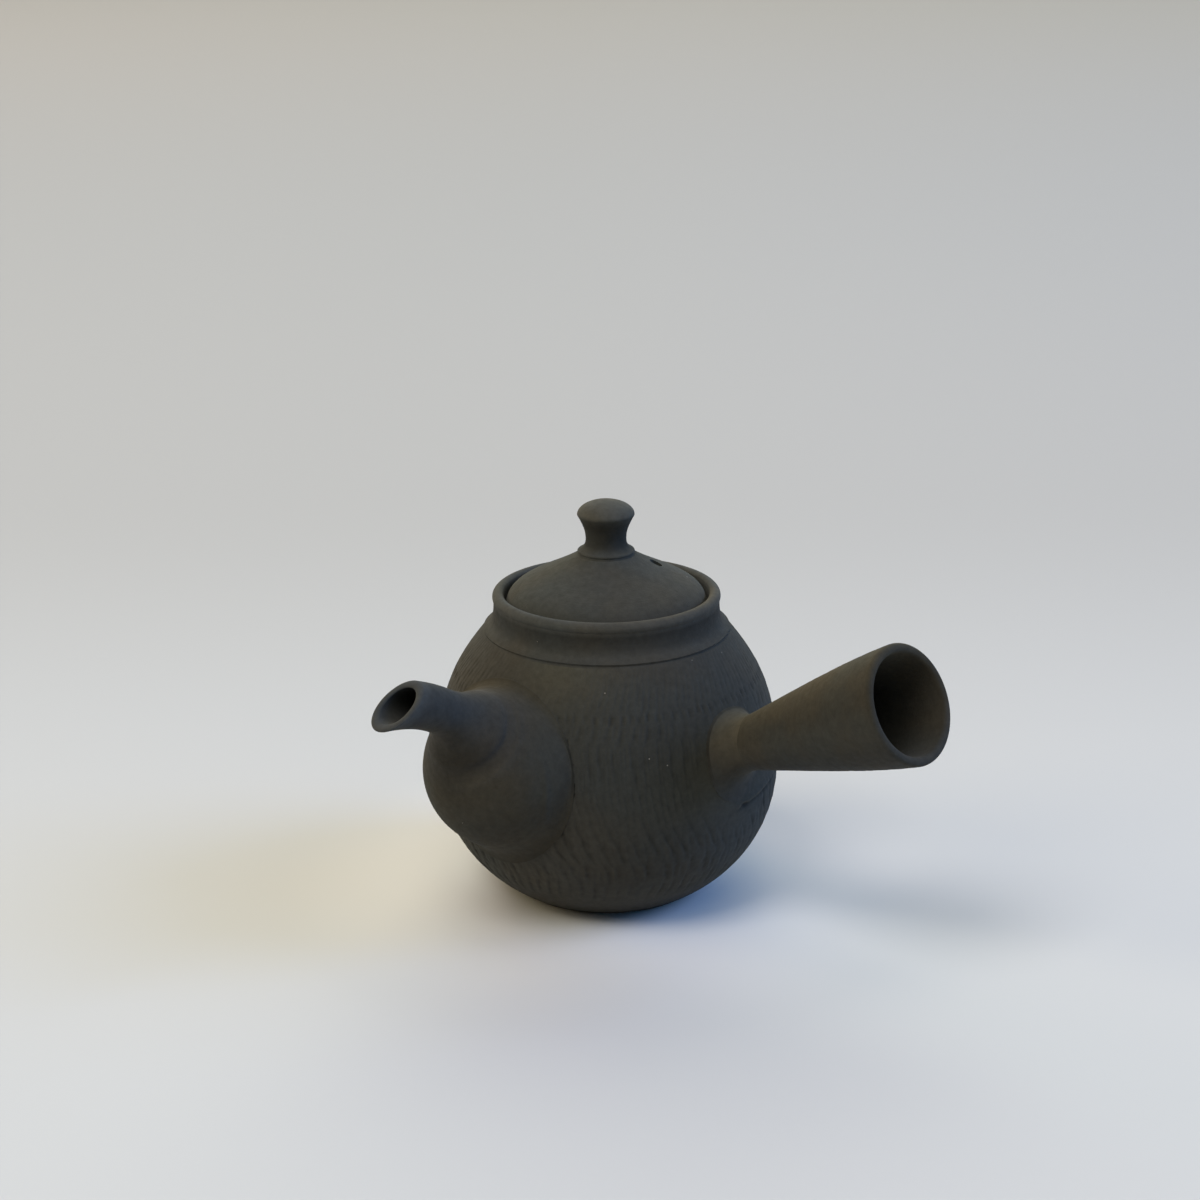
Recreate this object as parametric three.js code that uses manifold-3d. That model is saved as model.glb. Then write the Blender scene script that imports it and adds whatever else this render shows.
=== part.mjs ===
// A kyusu: a side-handled teapot of dark unglazed stoneware, with a lid, a knob, a hollow flared handle,
// a bell-footed spout and a pierced clay screen behind it. Every piece is thrown or pressed by itself,
// trimmed leather hard and luted to the pot; only the lid lifts off.
// Millimetres, +Z up. The origin is the middle of the flat base, the handle points to +X, the spout to -Y.
import * as THREE from "three";
import { mergeVertices } from "three/addons/utils/BufferGeometryUtils.js";
import Module from "manifold-3d";

const wasm = await Module();
wasm.setup();

// The pot's outside, from the base up
const BASE_RADIUS = 25.9;
const BASE_EDGE = 3; // radius of the rounded edge round the base
const BELLY_RADIUS = 46;
const BELLY_HEIGHT = 34;
const SHOULDER_RADIUS = 33.3;
const SHOULDER_HEIGHT = 71.9;
const FOOT_FLARE = new THREE.Vector2(13.5, 7.8); // how the wall leaves the base: out, up
const BELLY_FULLNESS_BELOW = 13;
const BELLY_FULLNESS_ABOVE = 19;
const SHOULDER_SLOPE = new THREE.Vector2(8.4, 10.4); // how the wall arrives at the neck: in, up
const WALL = 3.2;
const FLOOR = 4;
const CORNER_INSIDE = 5; // radius where the wall turns into the floor, inside

// The collar above the shoulder, and the ledge in it that carries the lid
const GROOVE_DEPTH = 0.8;
const GROOVE_WIDTH = 0.9;
const NECK_RADIUS = 30.1;
const NECK_HEIGHT = 7.2; // from the groove to the narrowest place under the lip
const COLLAR_FOOT = 32.9; // radius at the groove
const COLLAR_LEAVES = new THREE.Vector2(1.5, 2.4); // how it leaves the groove: in, up
const COLLAR_ARRIVES = 3.2; // the upright stretch of it, under the lip
const LIP_HEIGHT = 3.3;
const LIP_THICKNESS = 3.1;
const LIP_OVERHANG = 0.3;
const LIP_UNDERCUT = 40; // degrees that the lip's round turns in below
const LEDGE_DEPTH = 5; // below the top of the lip
const LEDGE_WIDTH = 2.6;
const LEDGE_THICKNESS = 3;

// The lid
const LID_GAP = 0.6; // all round, between the lid's edge and the lip
const LID_EDGE = 1.7; // height of the upright edge
const LID_RISE = 12.8; // from the top of that edge to the knob's seat
const LID_WALL = 2.7;
const LID_EDGE_PULL = new THREE.Vector2(0.9, 5.6); // how the dome leaves its edge: in, up
const LID_TOP_PULL = new THREE.Vector2(9.5, 5.9); // how it arrives at the knob's seat: in, up
const FLANGE_GAP = 0.5; // all round, between the lid's locating ring and the mouth
const FLANGE_DEPTH = 6.6;
const FLANGE_THICKNESS = 2.3;
const VENT_RADIUS = 1.5;
const VENT_DISTANCE = 13.2; // from the lid's axis
const VENT_BEARING = 48; // degrees round from the handle

// The knob on the lid
const KNOB_BASE_RADIUS = 7.6;
const KNOB_BASE_HEIGHT = 1.7;
const KNOB_WAIST_RADIUS = 5.4;
const KNOB_WAIST_HEIGHT = 3.9;
const KNOB_HEAD_RADIUS = 7.6;
const KNOB_HEAD_HEIGHT = 10.5;
const KNOB_CROWN = 3.8;
const KNOB_FILLET = new THREE.Vector2(1.3, 1.2); // where the waist rises from the base: out, up
const KNOB_WAIST_PULL = 2.4; // the upright stretch above the waist
const KNOB_HEAD_PULL = new THREE.Vector2(1.4, 2.6); // how the side arrives at the head: out, up

// The handle: a hollow cone, open at its wide end
const HANDLE_HEIGHT = 49; // where its axis meets the pot's wall
const HANDLE_RISE = 24.9; // degrees
const HANDLE_LENGTH = 59.6; // from the pot's wall to its mouth
const HANDLE_ROOT_RADIUS = 6.1;
const HANDLE_MOUTH_RADIUS = 15.5;
const HANDLE_FULLNESS = 0.7; // how far its side bulges from a straight cone, two thirds of the way out
const HANDLE_WALL = 2.5;
const HANDLE_SUNK = 9; // how far the cone is drawn into the pot before the wall cuts it

// The coil of soft clay pressed round the handle's root
const COIL_REACH = 3.8; // over the pot's wall, at the sides and above
const COIL_REACH_BELOW = 7.8;
const COIL_CLIMB = 7.5; // along the handle
const COIL_EDGE = 0.7; // thickness at its thin edges

// The spout: a wide bell on the wall that draws in to a tube and bends outwards
const SPOUT_HEIGHT = 45.1; // of the bell's middle
const SPOUT_SUNK = 6.6; // how far the bell's middle lies inside the pot's wall
const SPOUT_TUCK = 12; // how far the bell's side runs on behind that, until the pot's wall cuts it
const SPOUT_REACH = 77; // of the mouth's middle, from the pot's axis
const SPOUT_MOUTH_HEIGHT = 71.2;
const SPOUT_BELL_RADIUS = 22.8;
const SPOUT_TUBE_RADIUS = 5.95;
const SPOUT_BELL_SHARE = 0.715; // of the spout's length, over which the bell draws in
const SPOUT_BELL_WALL = 3.2;
const SPOUT_TUBE_WALL = 1.7;
const SPOUT_LEAVES = new THREE.Vector2(14.1, 9.3); // direction at the pot: out, up
const SPOUT_ARRIVES = new THREE.Vector2(21.2, 4.1); // direction at the mouth
const SPOUT_CUT = 45; // degrees between the mouth and a square cut
const SPOUT_CUT_SHARE = 0.25; // of the length, over which the sections turn to the cut

// The pierced screen, set in a round hole in the pot's wall behind the spout
const SCREEN_HOLE_RADIUS = 15;
const SCREEN_TILT = 9; // degrees, square to the wall there
const SCREEN_DOME = 8; // how far it swells into the pot
const SCREEN_THICKNESS = 1.8;
const SCREEN_SKIRT = 2.4;
const PERFORATION_RADIUS = 0.95;
const PERFORATION_PITCH = 2.75;
const PERFORATION_RINGS = 4;
const PERFORATIONS_MORE = 6; // in each ring than in the ring inside it

const SEAT_GAP = 0.3; // between pieces that touch or are luted together
const CUTTER_LENGTH = 40; // longer than any wall that a hole goes through

// How finely the pieces are divided: all round, and along each curve of their outlines
const POT_SEGMENTS = 44;
const ENVELOPE_SEGMENTS = 88;
const LID_SEGMENTS = 36;
const KNOB_SEGMENTS = 24;
const HANDLE_SEGMENTS = 30;
const SPOUT_SEGMENTS = 28;
const SCREEN_SEGMENTS = 30;
const VENT_SEGMENTS = 14;
const PERFORATION_SEGMENTS = 6;
const WALL_STEPS = 8;
const SHORT_STEPS = 3; // along a short curve, such as the collar or a corner
const LIP_STEPS = 6;
const EDGE_STEPS = 5;
const DOME_STEPS = 9;
const KNOB_STEPS = 5;
const HANDLE_STEPS = 8;
const COIL_STEPS = 6;
const SPOUT_STEPS = 14;
const SCREEN_STEPS = 3;
const HALVINGS = 30; // of the stretch in which a point on the wall is looked for

const lipTop = SHOULDER_HEIGHT + GROOVE_WIDTH / 2 + NECK_HEIGHT + LIP_HEIGHT;
const lipRadius = NECK_RADIUS + LIP_OVERHANG;
const lipInside = lipRadius - LIP_THICKNESS;
const ledgeTop = lipTop - LEDGE_DEPTH;
const mouthRadius = lipInside - LEDGE_WIDTH;

const point = (r, z) => new THREE.Vector2(r, z);
const radians = THREE.MathUtils.degToRad;
const bezier = (a, b, c, d, steps) => new THREE.CubicBezierCurve(a, b, c, d).getPoints(steps);
const arc = (r, z, radiusR, radiusZ, from, to, steps) =>
  Array.from({ length: steps + 1 }, (_, i) => {
    const turn = radians(from + ((to - from) * i) / steps);
    return point(r + radiusR * Math.cos(turn), z + radiusZ * Math.sin(turn));
  });

// A profile moved sideways by a distance, to the right of the way that it runs.
function offset(profile, distance) {
  return profile.map((p, i) => {
    const along = profile[Math.min(i + 1, profile.length - 1)].clone().sub(profile[Math.max(i - 1, 0)]);
    along.normalize();
    return point(p.x + along.y * distance, p.y - along.x * distance);
  });
}

// A solid of revolution about Z. The profile runs anticlockwise, seen with +Z up.
function revolve(profile, segments) {
  return new THREE.LatheGeometry(profile, segments).rotateX(Math.PI / 2);
}

// A pin along Z, to cut a round hole with
function cutter(radius, segments) {
  return new THREE.CylinderGeometry(radius, radius, CUTTER_LENGTH, segments).rotateX(Math.PI / 2);
}

// A closed skin through a loop of rings, each with as many points as the next.
function loft(rings) {
  const count = rings[0].length;
  const position = rings.flat().flatMap((p) => [p.x, p.y, p.z]);
  const index = [];
  rings.forEach((_, i) => {
    const here = i * count;
    const next = ((i + 1) % rings.length) * count;
    for (let j = 0; j < count; j++) {
      const k = (j + 1) % count;
      index.push(here + j, here + k, next + j, here + k, next + k, next + j);
    }
  });
  const geometry = new THREE.BufferGeometry();
  geometry.setAttribute("position", new THREE.Float32BufferAttribute(position, 3));
  geometry.setIndex(index);
  return geometry;
}

function toSolid(geometry) {
  const bare = geometry.clone();
  bare.deleteAttribute("normal");
  bare.deleteAttribute("uv");
  const merged = mergeVertices(bare, 1e-4);
  return new wasm.Manifold(
    new wasm.Mesh({
      numProp: 3,
      vertProperties: merged.attributes.position.array,
      triVerts: new Uint32Array(merged.index.array),
    }),
  );
}

function toGeometry(solid) {
  const mesh = solid.getMesh();
  const geometry = new THREE.BufferGeometry();
  geometry.setAttribute("position", new THREE.BufferAttribute(new Float32Array(mesh.vertProperties), 3));
  geometry.setIndex(new THREE.BufferAttribute(new Uint32Array(mesh.triVerts), 1));
  const flat = geometry.toNonIndexed();
  flat.computeVertexNormals();
  return flat;
}

// The rounded edge of the base, up to where its slope is the wall's
const footTurn = Math.atan2(-FOOT_FLARE.x, FOOT_FLARE.y);
const baseEdge = arc(
  BASE_RADIUS - BASE_EDGE * Math.cos(footTurn), BASE_EDGE, BASE_EDGE, BASE_EDGE,
  -90, footTurn * THREE.MathUtils.RAD2DEG, SHORT_STEPS);

// The pot's outer wall, from the base edge up to the groove under the collar
function outerWall() {
  const foot = baseEdge.at(-1);
  const belly = point(BELLY_RADIUS, BELLY_HEIGHT);
  const shoulder = point(SHOULDER_RADIUS, SHOULDER_HEIGHT);
  const below = bezier(
    foot, foot.clone().add(FOOT_FLARE), point(BELLY_RADIUS, BELLY_HEIGHT - BELLY_FULLNESS_BELOW), belly,
    WALL_STEPS);
  const above = bezier(
    belly, point(BELLY_RADIUS, BELLY_HEIGHT + BELLY_FULLNESS_ABOVE),
    point(SHOULDER_RADIUS + SHOULDER_SLOPE.x, SHOULDER_HEIGHT - SHOULDER_SLOPE.y), shoulder,
    WALL_STEPS);
  return [...below, ...above.slice(1)];
}
const wall = outerWall();

// The pot's outer radius at a height
function radiusAt(height) {
  const i = Math.max(1, wall.findIndex((p) => p.y >= height));
  const share = (height - wall[i - 1].y) / (wall[i].y - wall[i - 1].y);
  return wall[i - 1].x + share * (wall[i].x - wall[i - 1].x);
}

// The pot's whole outside as one full solid, grown by the seat gap: what is luted on is cut to it.
function envelope() {
  const grown = offset(wall, SEAT_GAP);
  const top = grown.at(-1);
  return revolve(
    [point(0, -SEAT_GAP), point(BASE_RADIUS, -SEAT_GAP), ...grown, point(top.x, lipTop), point(0, lipTop)],
    ENVELOPE_SEGMENTS,
  );
}
const potEnvelope = envelope();

// Takes the pot's wall away from a piece that is modelled in its own placement.
function fitToPot(geometry, placement) {
  const local = potEnvelope.clone().applyMatrix4(placement.clone().invert());
  return toGeometry(toSolid(geometry).subtract(toSolid(local)));
}

// Where the screen sits: its middle on the inside of the wall, its axis pointing into the pot.
function screenPlacement() {
  const tilt = radians(SCREEN_TILT);
  const inward = new THREE.Vector3(0, Math.cos(tilt), -Math.sin(tilt));
  return new THREE.Matrix4()
    .makeRotationFromQuaternion(
      new THREE.Quaternion().setFromUnitVectors(new THREE.Vector3(0, 0, 1), inward))
    .setPosition(0, WALL - radiusAt(SPOUT_HEIGHT), SPOUT_HEIGHT);
}

// The thrown pot: wall, collar and ledge in one, with the hole for the screen cut through its wall.
function bodyGeometry() {
  const collarFoot = SHOULDER_HEIGHT + GROOVE_WIDTH;
  const neckTop = lipTop - LIP_HEIGHT;
  const groove = [point(SHOULDER_RADIUS - GROOVE_DEPTH, SHOULDER_HEIGHT + GROOVE_WIDTH / 2)];
  const collar = bezier(
    point(COLLAR_FOOT, collarFoot), point(COLLAR_FOOT - COLLAR_LEAVES.x, collarFoot + COLLAR_LEAVES.y),
    point(NECK_RADIUS, neckTop - COLLAR_ARRIVES), point(NECK_RADIUS, neckTop), SHORT_STEPS);
  const lip = arc(lipRadius - LIP_THICKNESS / 2, lipTop - LIP_HEIGHT / 2, LIP_THICKNESS / 2, LIP_HEIGHT / 2,
    -LIP_UNDERCUT, 180, LIP_STEPS);
  const ledge = [point(lipInside, ledgeTop), point(mouthRadius, ledgeTop),
    point(mouthRadius, ledgeTop - LEDGE_THICKNESS)];
  const inner = offset(wall, -WALL).reverse()
    .filter((p) => p.x > mouthRadius && p.y < ledgeTop - LEDGE_THICKNESS && p.y > FLOOR + CORNER_INSIDE);
  const cornerRadius = inner.at(-1).x - CORNER_INSIDE;
  const corner = arc(cornerRadius, FLOOR + CORNER_INSIDE, CORNER_INSIDE, CORNER_INSIDE, 0, -90, SHORT_STEPS);
  const profile = [point(0, 0), ...baseEdge, ...wall.slice(1), ...groove, ...collar, ...lip, ...ledge,
    ...inner, ...corner.slice(1), point(0, FLOOR)];
  const hole = cutter(SCREEN_HOLE_RADIUS, SCREEN_SEGMENTS).applyMatrix4(screenPlacement());
  return toGeometry(toSolid(revolve(profile, POT_SEGMENTS)).subtract(toSolid(hole)));
}

// The screen: a shallow dome with a short skirt, pierced in rings about its middle.
function screenGeometry() {
  const radius = SCREEN_HOLE_RADIUS - SEAT_GAP;
  const sphere = (radius * radius + SCREEN_DOME * SCREEN_DOME) / (2 * SCREEN_DOME);
  const centre = SCREEN_DOME - sphere;
  const lowest = Math.asin(-centre / sphere) * THREE.MathUtils.RAD2DEG;
  const insideSphere = sphere - SCREEN_THICKNESS;
  const skirtInside = radius - SCREEN_THICKNESS;
  const insideStart = Math.acos(skirtInside / insideSphere) * THREE.MathUtils.RAD2DEG;
  const profile = [
    ...arc(0, centre, insideSphere, insideSphere, 90, insideStart, SCREEN_STEPS),
    point(skirtInside, -SCREEN_SKIRT), point(radius, -SCREEN_SKIRT),
    ...arc(0, centre, sphere, sphere, lowest, 90, SCREEN_STEPS + 1),
  ];
  profile[0].x = 0;
  profile.at(-1).x = 0;
  const holes = [];
  for (let ring = 0; ring <= PERFORATION_RINGS; ring++) {
    const count = Math.max(1, ring * PERFORATIONS_MORE);
    for (let i = 0; i < count; i++) {
      const turn = (i / count) * 2 * Math.PI;
      const pin = cutter(PERFORATION_RADIUS, PERFORATION_SEGMENTS);
      pin.translate(ring * PERFORATION_PITCH * Math.cos(turn), ring * PERFORATION_PITCH * Math.sin(turn), 0);
      holes.push(toSolid(pin));
    }
  }
  const dome = toSolid(revolve(profile, SCREEN_SEGMENTS));
  return toGeometry(holes.reduce((screen, hole) => screen.subtract(hole), dome));
}

// Where the handle sits: its own Z runs out along its axis, from where that axis meets the pot's wall.
function handlePlacement() {
  const rise = radians(HANDLE_RISE);
  return new THREE.Matrix4()
    .makeRotationY(Math.PI / 2 - rise)
    .setPosition(radiusAt(HANDLE_HEIGHT), 0, HANDLE_HEIGHT);
}

// The handle's outer radius at a distance along its axis
function handleRadius(distance) {
  const share = distance / HANDLE_LENGTH;
  const bulge = HANDLE_FULLNESS * (27 / 4) * share * share * (1 - share); // the product's peak is 4 / 27
  return HANDLE_ROOT_RADIUS + (HANDLE_MOUTH_RADIUS - HANDLE_ROOT_RADIUS) * share + bulge;
}

// Rings about Z from (radius, distance) pairs
function turnedRings(profile, segments) {
  return profile.map((p) =>
    Array.from({ length: segments }, (_, i) => {
      const turn = (i / segments) * 2 * Math.PI;
      return new THREE.Vector3(p.x * Math.cos(turn), p.x * Math.sin(turn), p.y);
    }),
  );
}

function handleGeometry() {
  const lipEnd = HANDLE_LENGTH - HANDLE_WALL / 2;
  const outside = Array.from({ length: HANDLE_STEPS + 1 }, (_, i) => {
    const distance = THREE.MathUtils.lerp(-HANDLE_SUNK, lipEnd, i / HANDLE_STEPS);
    return point(handleRadius(distance), distance);
  });
  const inside = outside.map((p) => point(p.x - HANDLE_WALL, p.y)).reverse();
  const lipMiddle = handleRadius(lipEnd) - HANDLE_WALL / 2;
  const lip = arc(lipMiddle, lipEnd, HANDLE_WALL / 2, HANDLE_WALL / 2, 0, 180, EDGE_STEPS).slice(1, -1);
  const cone = loft(turnedRings([...outside, ...lip, ...inside], HANDLE_SEGMENTS));
  return fitToPot(cone, handlePlacement());
}

// How far along the handle's axis the pot's wall lies, at a radius from that axis and a bearing round it
function wallAlong(radius, turn, placement) {
  const at = (distance) =>
    new THREE.Vector3(radius * Math.cos(turn), radius * Math.sin(turn), distance).applyMatrix4(placement);
  const outside = (p) => Math.hypot(p.x, p.y) > radiusAt(p.z) + SEAT_GAP;
  let low = -BELLY_RADIUS / 2;
  let high = HANDLE_LENGTH / 2;
  for (let i = 0; i < HALVINGS; i++) {
    const middle = (low + high) / 2;
    if (outside(at(middle))) high = middle;
    else low = middle;
  }
  return high;
}

// The coil round the handle's root: at each bearing a hollow fillet from the pot's wall to the handle,
// drawn out further below, where the placement's own X points.
function coilGeometry() {
  const placement = handlePlacement();
  const sections = Array.from({ length: HANDLE_SEGMENTS }, (_, i) => {
    const turn = (i / HANDLE_SEGMENTS) * 2 * Math.PI;
    const below = Math.max(0, Math.cos(turn));
    const reach = THREE.MathUtils.lerp(COIL_REACH, COIL_REACH_BELOW, below * below);
    const root = wallAlong(HANDLE_ROOT_RADIUS, turn, placement);
    const inner = (distance) => handleRadius(distance) + SEAT_GAP;
    const foot = inner(root) + reach;
    const footAlong = wallAlong(foot, turn, placement);
    const nearAlong = wallAlong(inner(root), turn, placement);
    const top = root + COIL_CLIMB;
    const fillet = new THREE.QuadraticBezierCurve(
      point(inner(top) + COIL_EDGE, top), point(inner(root) + COIL_EDGE, nearAlong + COIL_EDGE),
      point(foot, footAlong + COIL_EDGE),
    ).getPoints(COIL_STEPS);
    const section = [
      point(inner(nearAlong), nearAlong), point(inner(top), top), ...fillet, point(foot, footAlong)];
    return section.map((p) => new THREE.Vector3(p.x * Math.cos(turn), p.x * Math.sin(turn), p.y));
  });
  return loft(sections);
}

// The spout's middle line, in the upright plane through its mouth: out from the pot's axis, and up.
function spoutLine() {
  const start = point(radiusAt(SPOUT_HEIGHT) - SPOUT_SUNK, SPOUT_HEIGHT);
  const end = point(SPOUT_REACH, SPOUT_MOUTH_HEIGHT);
  return new THREE.CubicBezierCurve(
    start, start.clone().add(SPOUT_LEAVES), end.clone().sub(SPOUT_ARRIVES), end);
}

// One ring of the spout: a circle of that radius square to the middle line, drawn out where the ring is
// tipped towards the cut, and moved along the line by a distance.
function spoutRing(line, share, radius, ahead) {
  const middle = line.getPoint(share);
  const along = line.getTangent(share);
  const tip = radians(SPOUT_CUT) * Math.max(0, 1 - (1 - share) / SPOUT_CUT_SHARE);
  const lean = Math.atan2(along.y, along.x) + tip;
  const length = radius / Math.cos(tip);
  return Array.from({ length: SPOUT_SEGMENTS }, (_, i) => {
    const turn = (i / SPOUT_SEGMENTS) * 2 * Math.PI;
    const up = length * Math.sin(turn);
    const out = middle.x + along.x * ahead - up * Math.sin(lean);
    return new THREE.Vector3(radius * Math.cos(turn), -out, middle.y + along.y * ahead + up * Math.cos(lean));
  });
}

function spoutGeometry() {
  const line = spoutLine();
  const ease = (share) => (1 + Math.cos(Math.PI * Math.min(1, share / SPOUT_BELL_SHARE))) / 2;
  const outer = (share) => THREE.MathUtils.lerp(SPOUT_TUBE_RADIUS, SPOUT_BELL_RADIUS, ease(share));
  const thickness = (share) => THREE.MathUtils.lerp(SPOUT_TUBE_WALL, SPOUT_BELL_WALL, ease(share));
  const shares = Array.from({ length: SPOUT_STEPS + 1 }, (_, i) => i / SPOUT_STEPS);
  const side = (radiusOf) =>
    [spoutRing(line, 0, radiusOf(0), -SPOUT_TUCK), ...shares.map((s) => spoutRing(line, s, radiusOf(s), 0))];
  const outside = side(outer);
  const inside = side((share) => outer(share) - thickness(share)).reverse();
  const half = thickness(1) / 2;
  const lip = arc(outer(1) - half, 0, half, half, 0, 180, EDGE_STEPS).slice(1, -1)
    .map((p) => spoutRing(line, 1, p.x, p.y));
  return fitToPot(loft([...outside, ...lip, ...inside]), new THREE.Matrix4());
}

// The lid, with its own Z from the underside of its edge: a shallow dome over a locating ring.
const lidTop = LID_EDGE + LID_RISE;

function lidGeometry() {
  const lidRadius = lipInside - LID_GAP;
  const flangeRadius = mouthRadius - FLANGE_GAP;
  const edge = point(lidRadius, LID_EDGE);
  const seat = point(KNOB_BASE_RADIUS + SEAT_GAP, lidTop);
  const dome = bezier(
    edge, point(edge.x - LID_EDGE_PULL.x, edge.y + LID_EDGE_PULL.y),
    point(seat.x + LID_TOP_PULL.x, seat.y - LID_TOP_PULL.y), seat, DOME_STEPS);
  const flangeInside = flangeRadius - FLANGE_THICKNESS;
  const under = offset(dome, -LID_WALL).reverse().filter((p) => p.x < flangeInside - FLANGE_GAP);
  const profile = [
    point(0, lidTop - LID_WALL), ...under,
    point(flangeInside, 0), point(flangeInside, -FLANGE_DEPTH), point(flangeRadius, -FLANGE_DEPTH),
    point(flangeRadius, 0), point(lidRadius, 0), ...dome, point(0, lidTop),
  ];
  const vent = cutter(VENT_RADIUS, VENT_SEGMENTS);
  const bearing = radians(VENT_BEARING);
  vent.translate(VENT_DISTANCE * Math.cos(bearing), VENT_DISTANCE * Math.sin(bearing), 0);
  return toGeometry(toSolid(revolve(profile, LID_SEGMENTS)).subtract(toSolid(vent)));
}

// The knob: a round base, a waist, and a head that flares to a low crown.
function knobGeometry() {
  const base = arc(KNOB_BASE_RADIUS - KNOB_BASE_HEIGHT / 2, KNOB_BASE_HEIGHT / 2,
    KNOB_BASE_HEIGHT / 2, KNOB_BASE_HEIGHT / 2, -90, 90, EDGE_STEPS);
  const waist = point(KNOB_WAIST_RADIUS, KNOB_WAIST_HEIGHT);
  const head = point(KNOB_HEAD_RADIUS, KNOB_HEAD_HEIGHT);
  const stem = bezier(
    point(KNOB_WAIST_RADIUS + KNOB_FILLET.x, KNOB_BASE_HEIGHT), point(KNOB_WAIST_RADIUS, KNOB_BASE_HEIGHT),
    point(KNOB_WAIST_RADIUS, KNOB_WAIST_HEIGHT - KNOB_FILLET.y), waist, SHORT_STEPS);
  const flare = bezier(
    waist, point(KNOB_WAIST_RADIUS, KNOB_WAIST_HEIGHT + KNOB_WAIST_PULL), head.clone().sub(KNOB_HEAD_PULL),
    head, KNOB_STEPS);
  const crown = arc(0, KNOB_HEAD_HEIGHT, KNOB_HEAD_RADIUS, KNOB_CROWN, 0, 90, KNOB_STEPS + 2);
  crown.at(-1).x = 0;
  return revolve([point(0, 0), ...base, ...stem, ...flare.slice(1), ...crown.slice(1)], KNOB_SEGMENTS);
}

const fired = (color) => new THREE.MeshStandardMaterial({ color, roughness: 0.86, metalness: 0 });
const bodyClay = fired(0x45443f);
const lidClay = fired(0x4c4a43);
const handleClay = fired(0x4b463c);
const spoutClay = fired(0x444340);
const screenClay = fired(0x3f3d39);

function piece(name, geometry, material, placement) {
  const mesh = new THREE.Mesh(geometry, material);
  mesh.name = name;
  if (placement) placement.decompose(mesh.position, mesh.quaternion, mesh.scale);
  return mesh;
}

const kyusu = new THREE.Group();
kyusu.add(piece("body", bodyGeometry(), bodyClay));
kyusu.add(piece("strainer", screenGeometry(), screenClay, screenPlacement()));
kyusu.add(piece("spout", spoutGeometry(), spoutClay));
kyusu.add(piece("handle", handleGeometry(), handleClay, handlePlacement()));
kyusu.add(piece("handle_coil", coilGeometry(), handleClay, handlePlacement()));

const lidGroup = new THREE.Group();
lidGroup.position.z = ledgeTop + SEAT_GAP;
lidGroup.add(piece("lid", lidGeometry(), lidClay));
const knob = piece("knob", knobGeometry(), lidClay);
knob.position.z = lidTop + SEAT_GAP;
lidGroup.add(knob);
kyusu.add(lidGroup);

export default kyusu;
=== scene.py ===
import math

import bpy
import numpy as np
from mathutils import Matrix, Vector


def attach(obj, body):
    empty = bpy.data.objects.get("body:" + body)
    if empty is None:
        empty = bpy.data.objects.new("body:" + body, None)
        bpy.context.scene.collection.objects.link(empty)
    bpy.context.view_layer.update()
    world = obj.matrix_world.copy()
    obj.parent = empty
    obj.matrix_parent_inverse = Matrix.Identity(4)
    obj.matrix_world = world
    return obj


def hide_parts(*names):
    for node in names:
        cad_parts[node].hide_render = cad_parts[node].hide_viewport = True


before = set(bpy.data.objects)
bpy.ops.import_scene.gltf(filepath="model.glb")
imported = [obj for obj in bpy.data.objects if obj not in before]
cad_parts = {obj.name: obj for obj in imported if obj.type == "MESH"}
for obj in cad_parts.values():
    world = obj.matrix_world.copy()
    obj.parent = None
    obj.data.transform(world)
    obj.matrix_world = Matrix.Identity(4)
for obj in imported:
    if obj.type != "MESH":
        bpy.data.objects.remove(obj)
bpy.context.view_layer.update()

# The camera stands where the photographer did: in front of the pot and above it, a quarter turn between the
# spout on the left and the handle on the right. It is turned 42 degrees from the handle's own direction.
VIEW_TURN = math.radians(42)
VIEW_DOWN = math.radians(18)
VIEW_ROLL = math.radians(-0.45)
VIEW_DISTANCE = 0.666
VIEW_TARGET = (-0.0017133, 0.079646)  # across and up, in metres

across = Vector((math.cos(VIEW_TURN), math.sin(VIEW_TURN), 0))
away = Vector((-math.sin(VIEW_TURN), math.cos(VIEW_TURN), 0))
ahead = away * math.cos(VIEW_DOWN) - Vector((0, 0, math.sin(VIEW_DOWN)))
upward = away * math.sin(VIEW_DOWN) + Vector((0, 0, math.cos(VIEW_DOWN)))
right = across * math.cos(VIEW_ROLL) + upward * math.sin(VIEW_ROLL)
upward = upward * math.cos(VIEW_ROLL) - across * math.sin(VIEW_ROLL)
eye = across * VIEW_TARGET[0] + Vector((0, 0, VIEW_TARGET[1])) - ahead * VIEW_DISTANCE

camera = bpy.data.objects.new("camera", bpy.data.cameras.new("camera"))
bpy.context.collection.objects.link(camera)
camera.matrix_world = Matrix.Translation(eye) @ Matrix((right, upward, -ahead)).transposed().to_4x4()
camera.data.lens = 75
camera.data.sensor_width = 36
camera.data.clip_start = 0.05
bpy.context.scene.camera = camera
bpy.context.scene.view_settings.view_transform = "Standard"

# The table top that the pot stands on: plain, pale and matt. Light is painted into its colour: warmer on the
# window's side at the left, cooler at the right, painted shade behind the pot, painted light far off and
# painted light round the pot's foot that thins its shadow there.
FLOOR_SIZE = 12.0
FLOOR_ROUGHNESS = 0.75
FLOOR_SHEEN = 0.2
FLOOR_COLOUR = (0.575, 0.575, 0.565, 1)
FLOOR_COOL_LIGHT_TINT = (0.58, 0.58, 0.575, 1)  # at the right
SIDE_REACH = (-0.12, 0.16)  # metres across, from the one to the other
PAINTED_SHADE_BEHIND = (0.80, 0.785, 0.77, 1)  # next to in front of the pot
BEHIND_REACH = (-0.05, 0.4)  # metres away from the camera
PAINTED_LIGHT_FAR = (1.24, 1.15, 1.06, 1)  # next to behind the pot
FAR_REACH = (0.9, 3.4)
PAINTED_LIGHT_NEAR_POT = (1.15, 1.14, 1.14, 1)  # next to further out
NEAR_REACH = (0.096, 0.046)  # metres from the pot's axis


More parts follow.
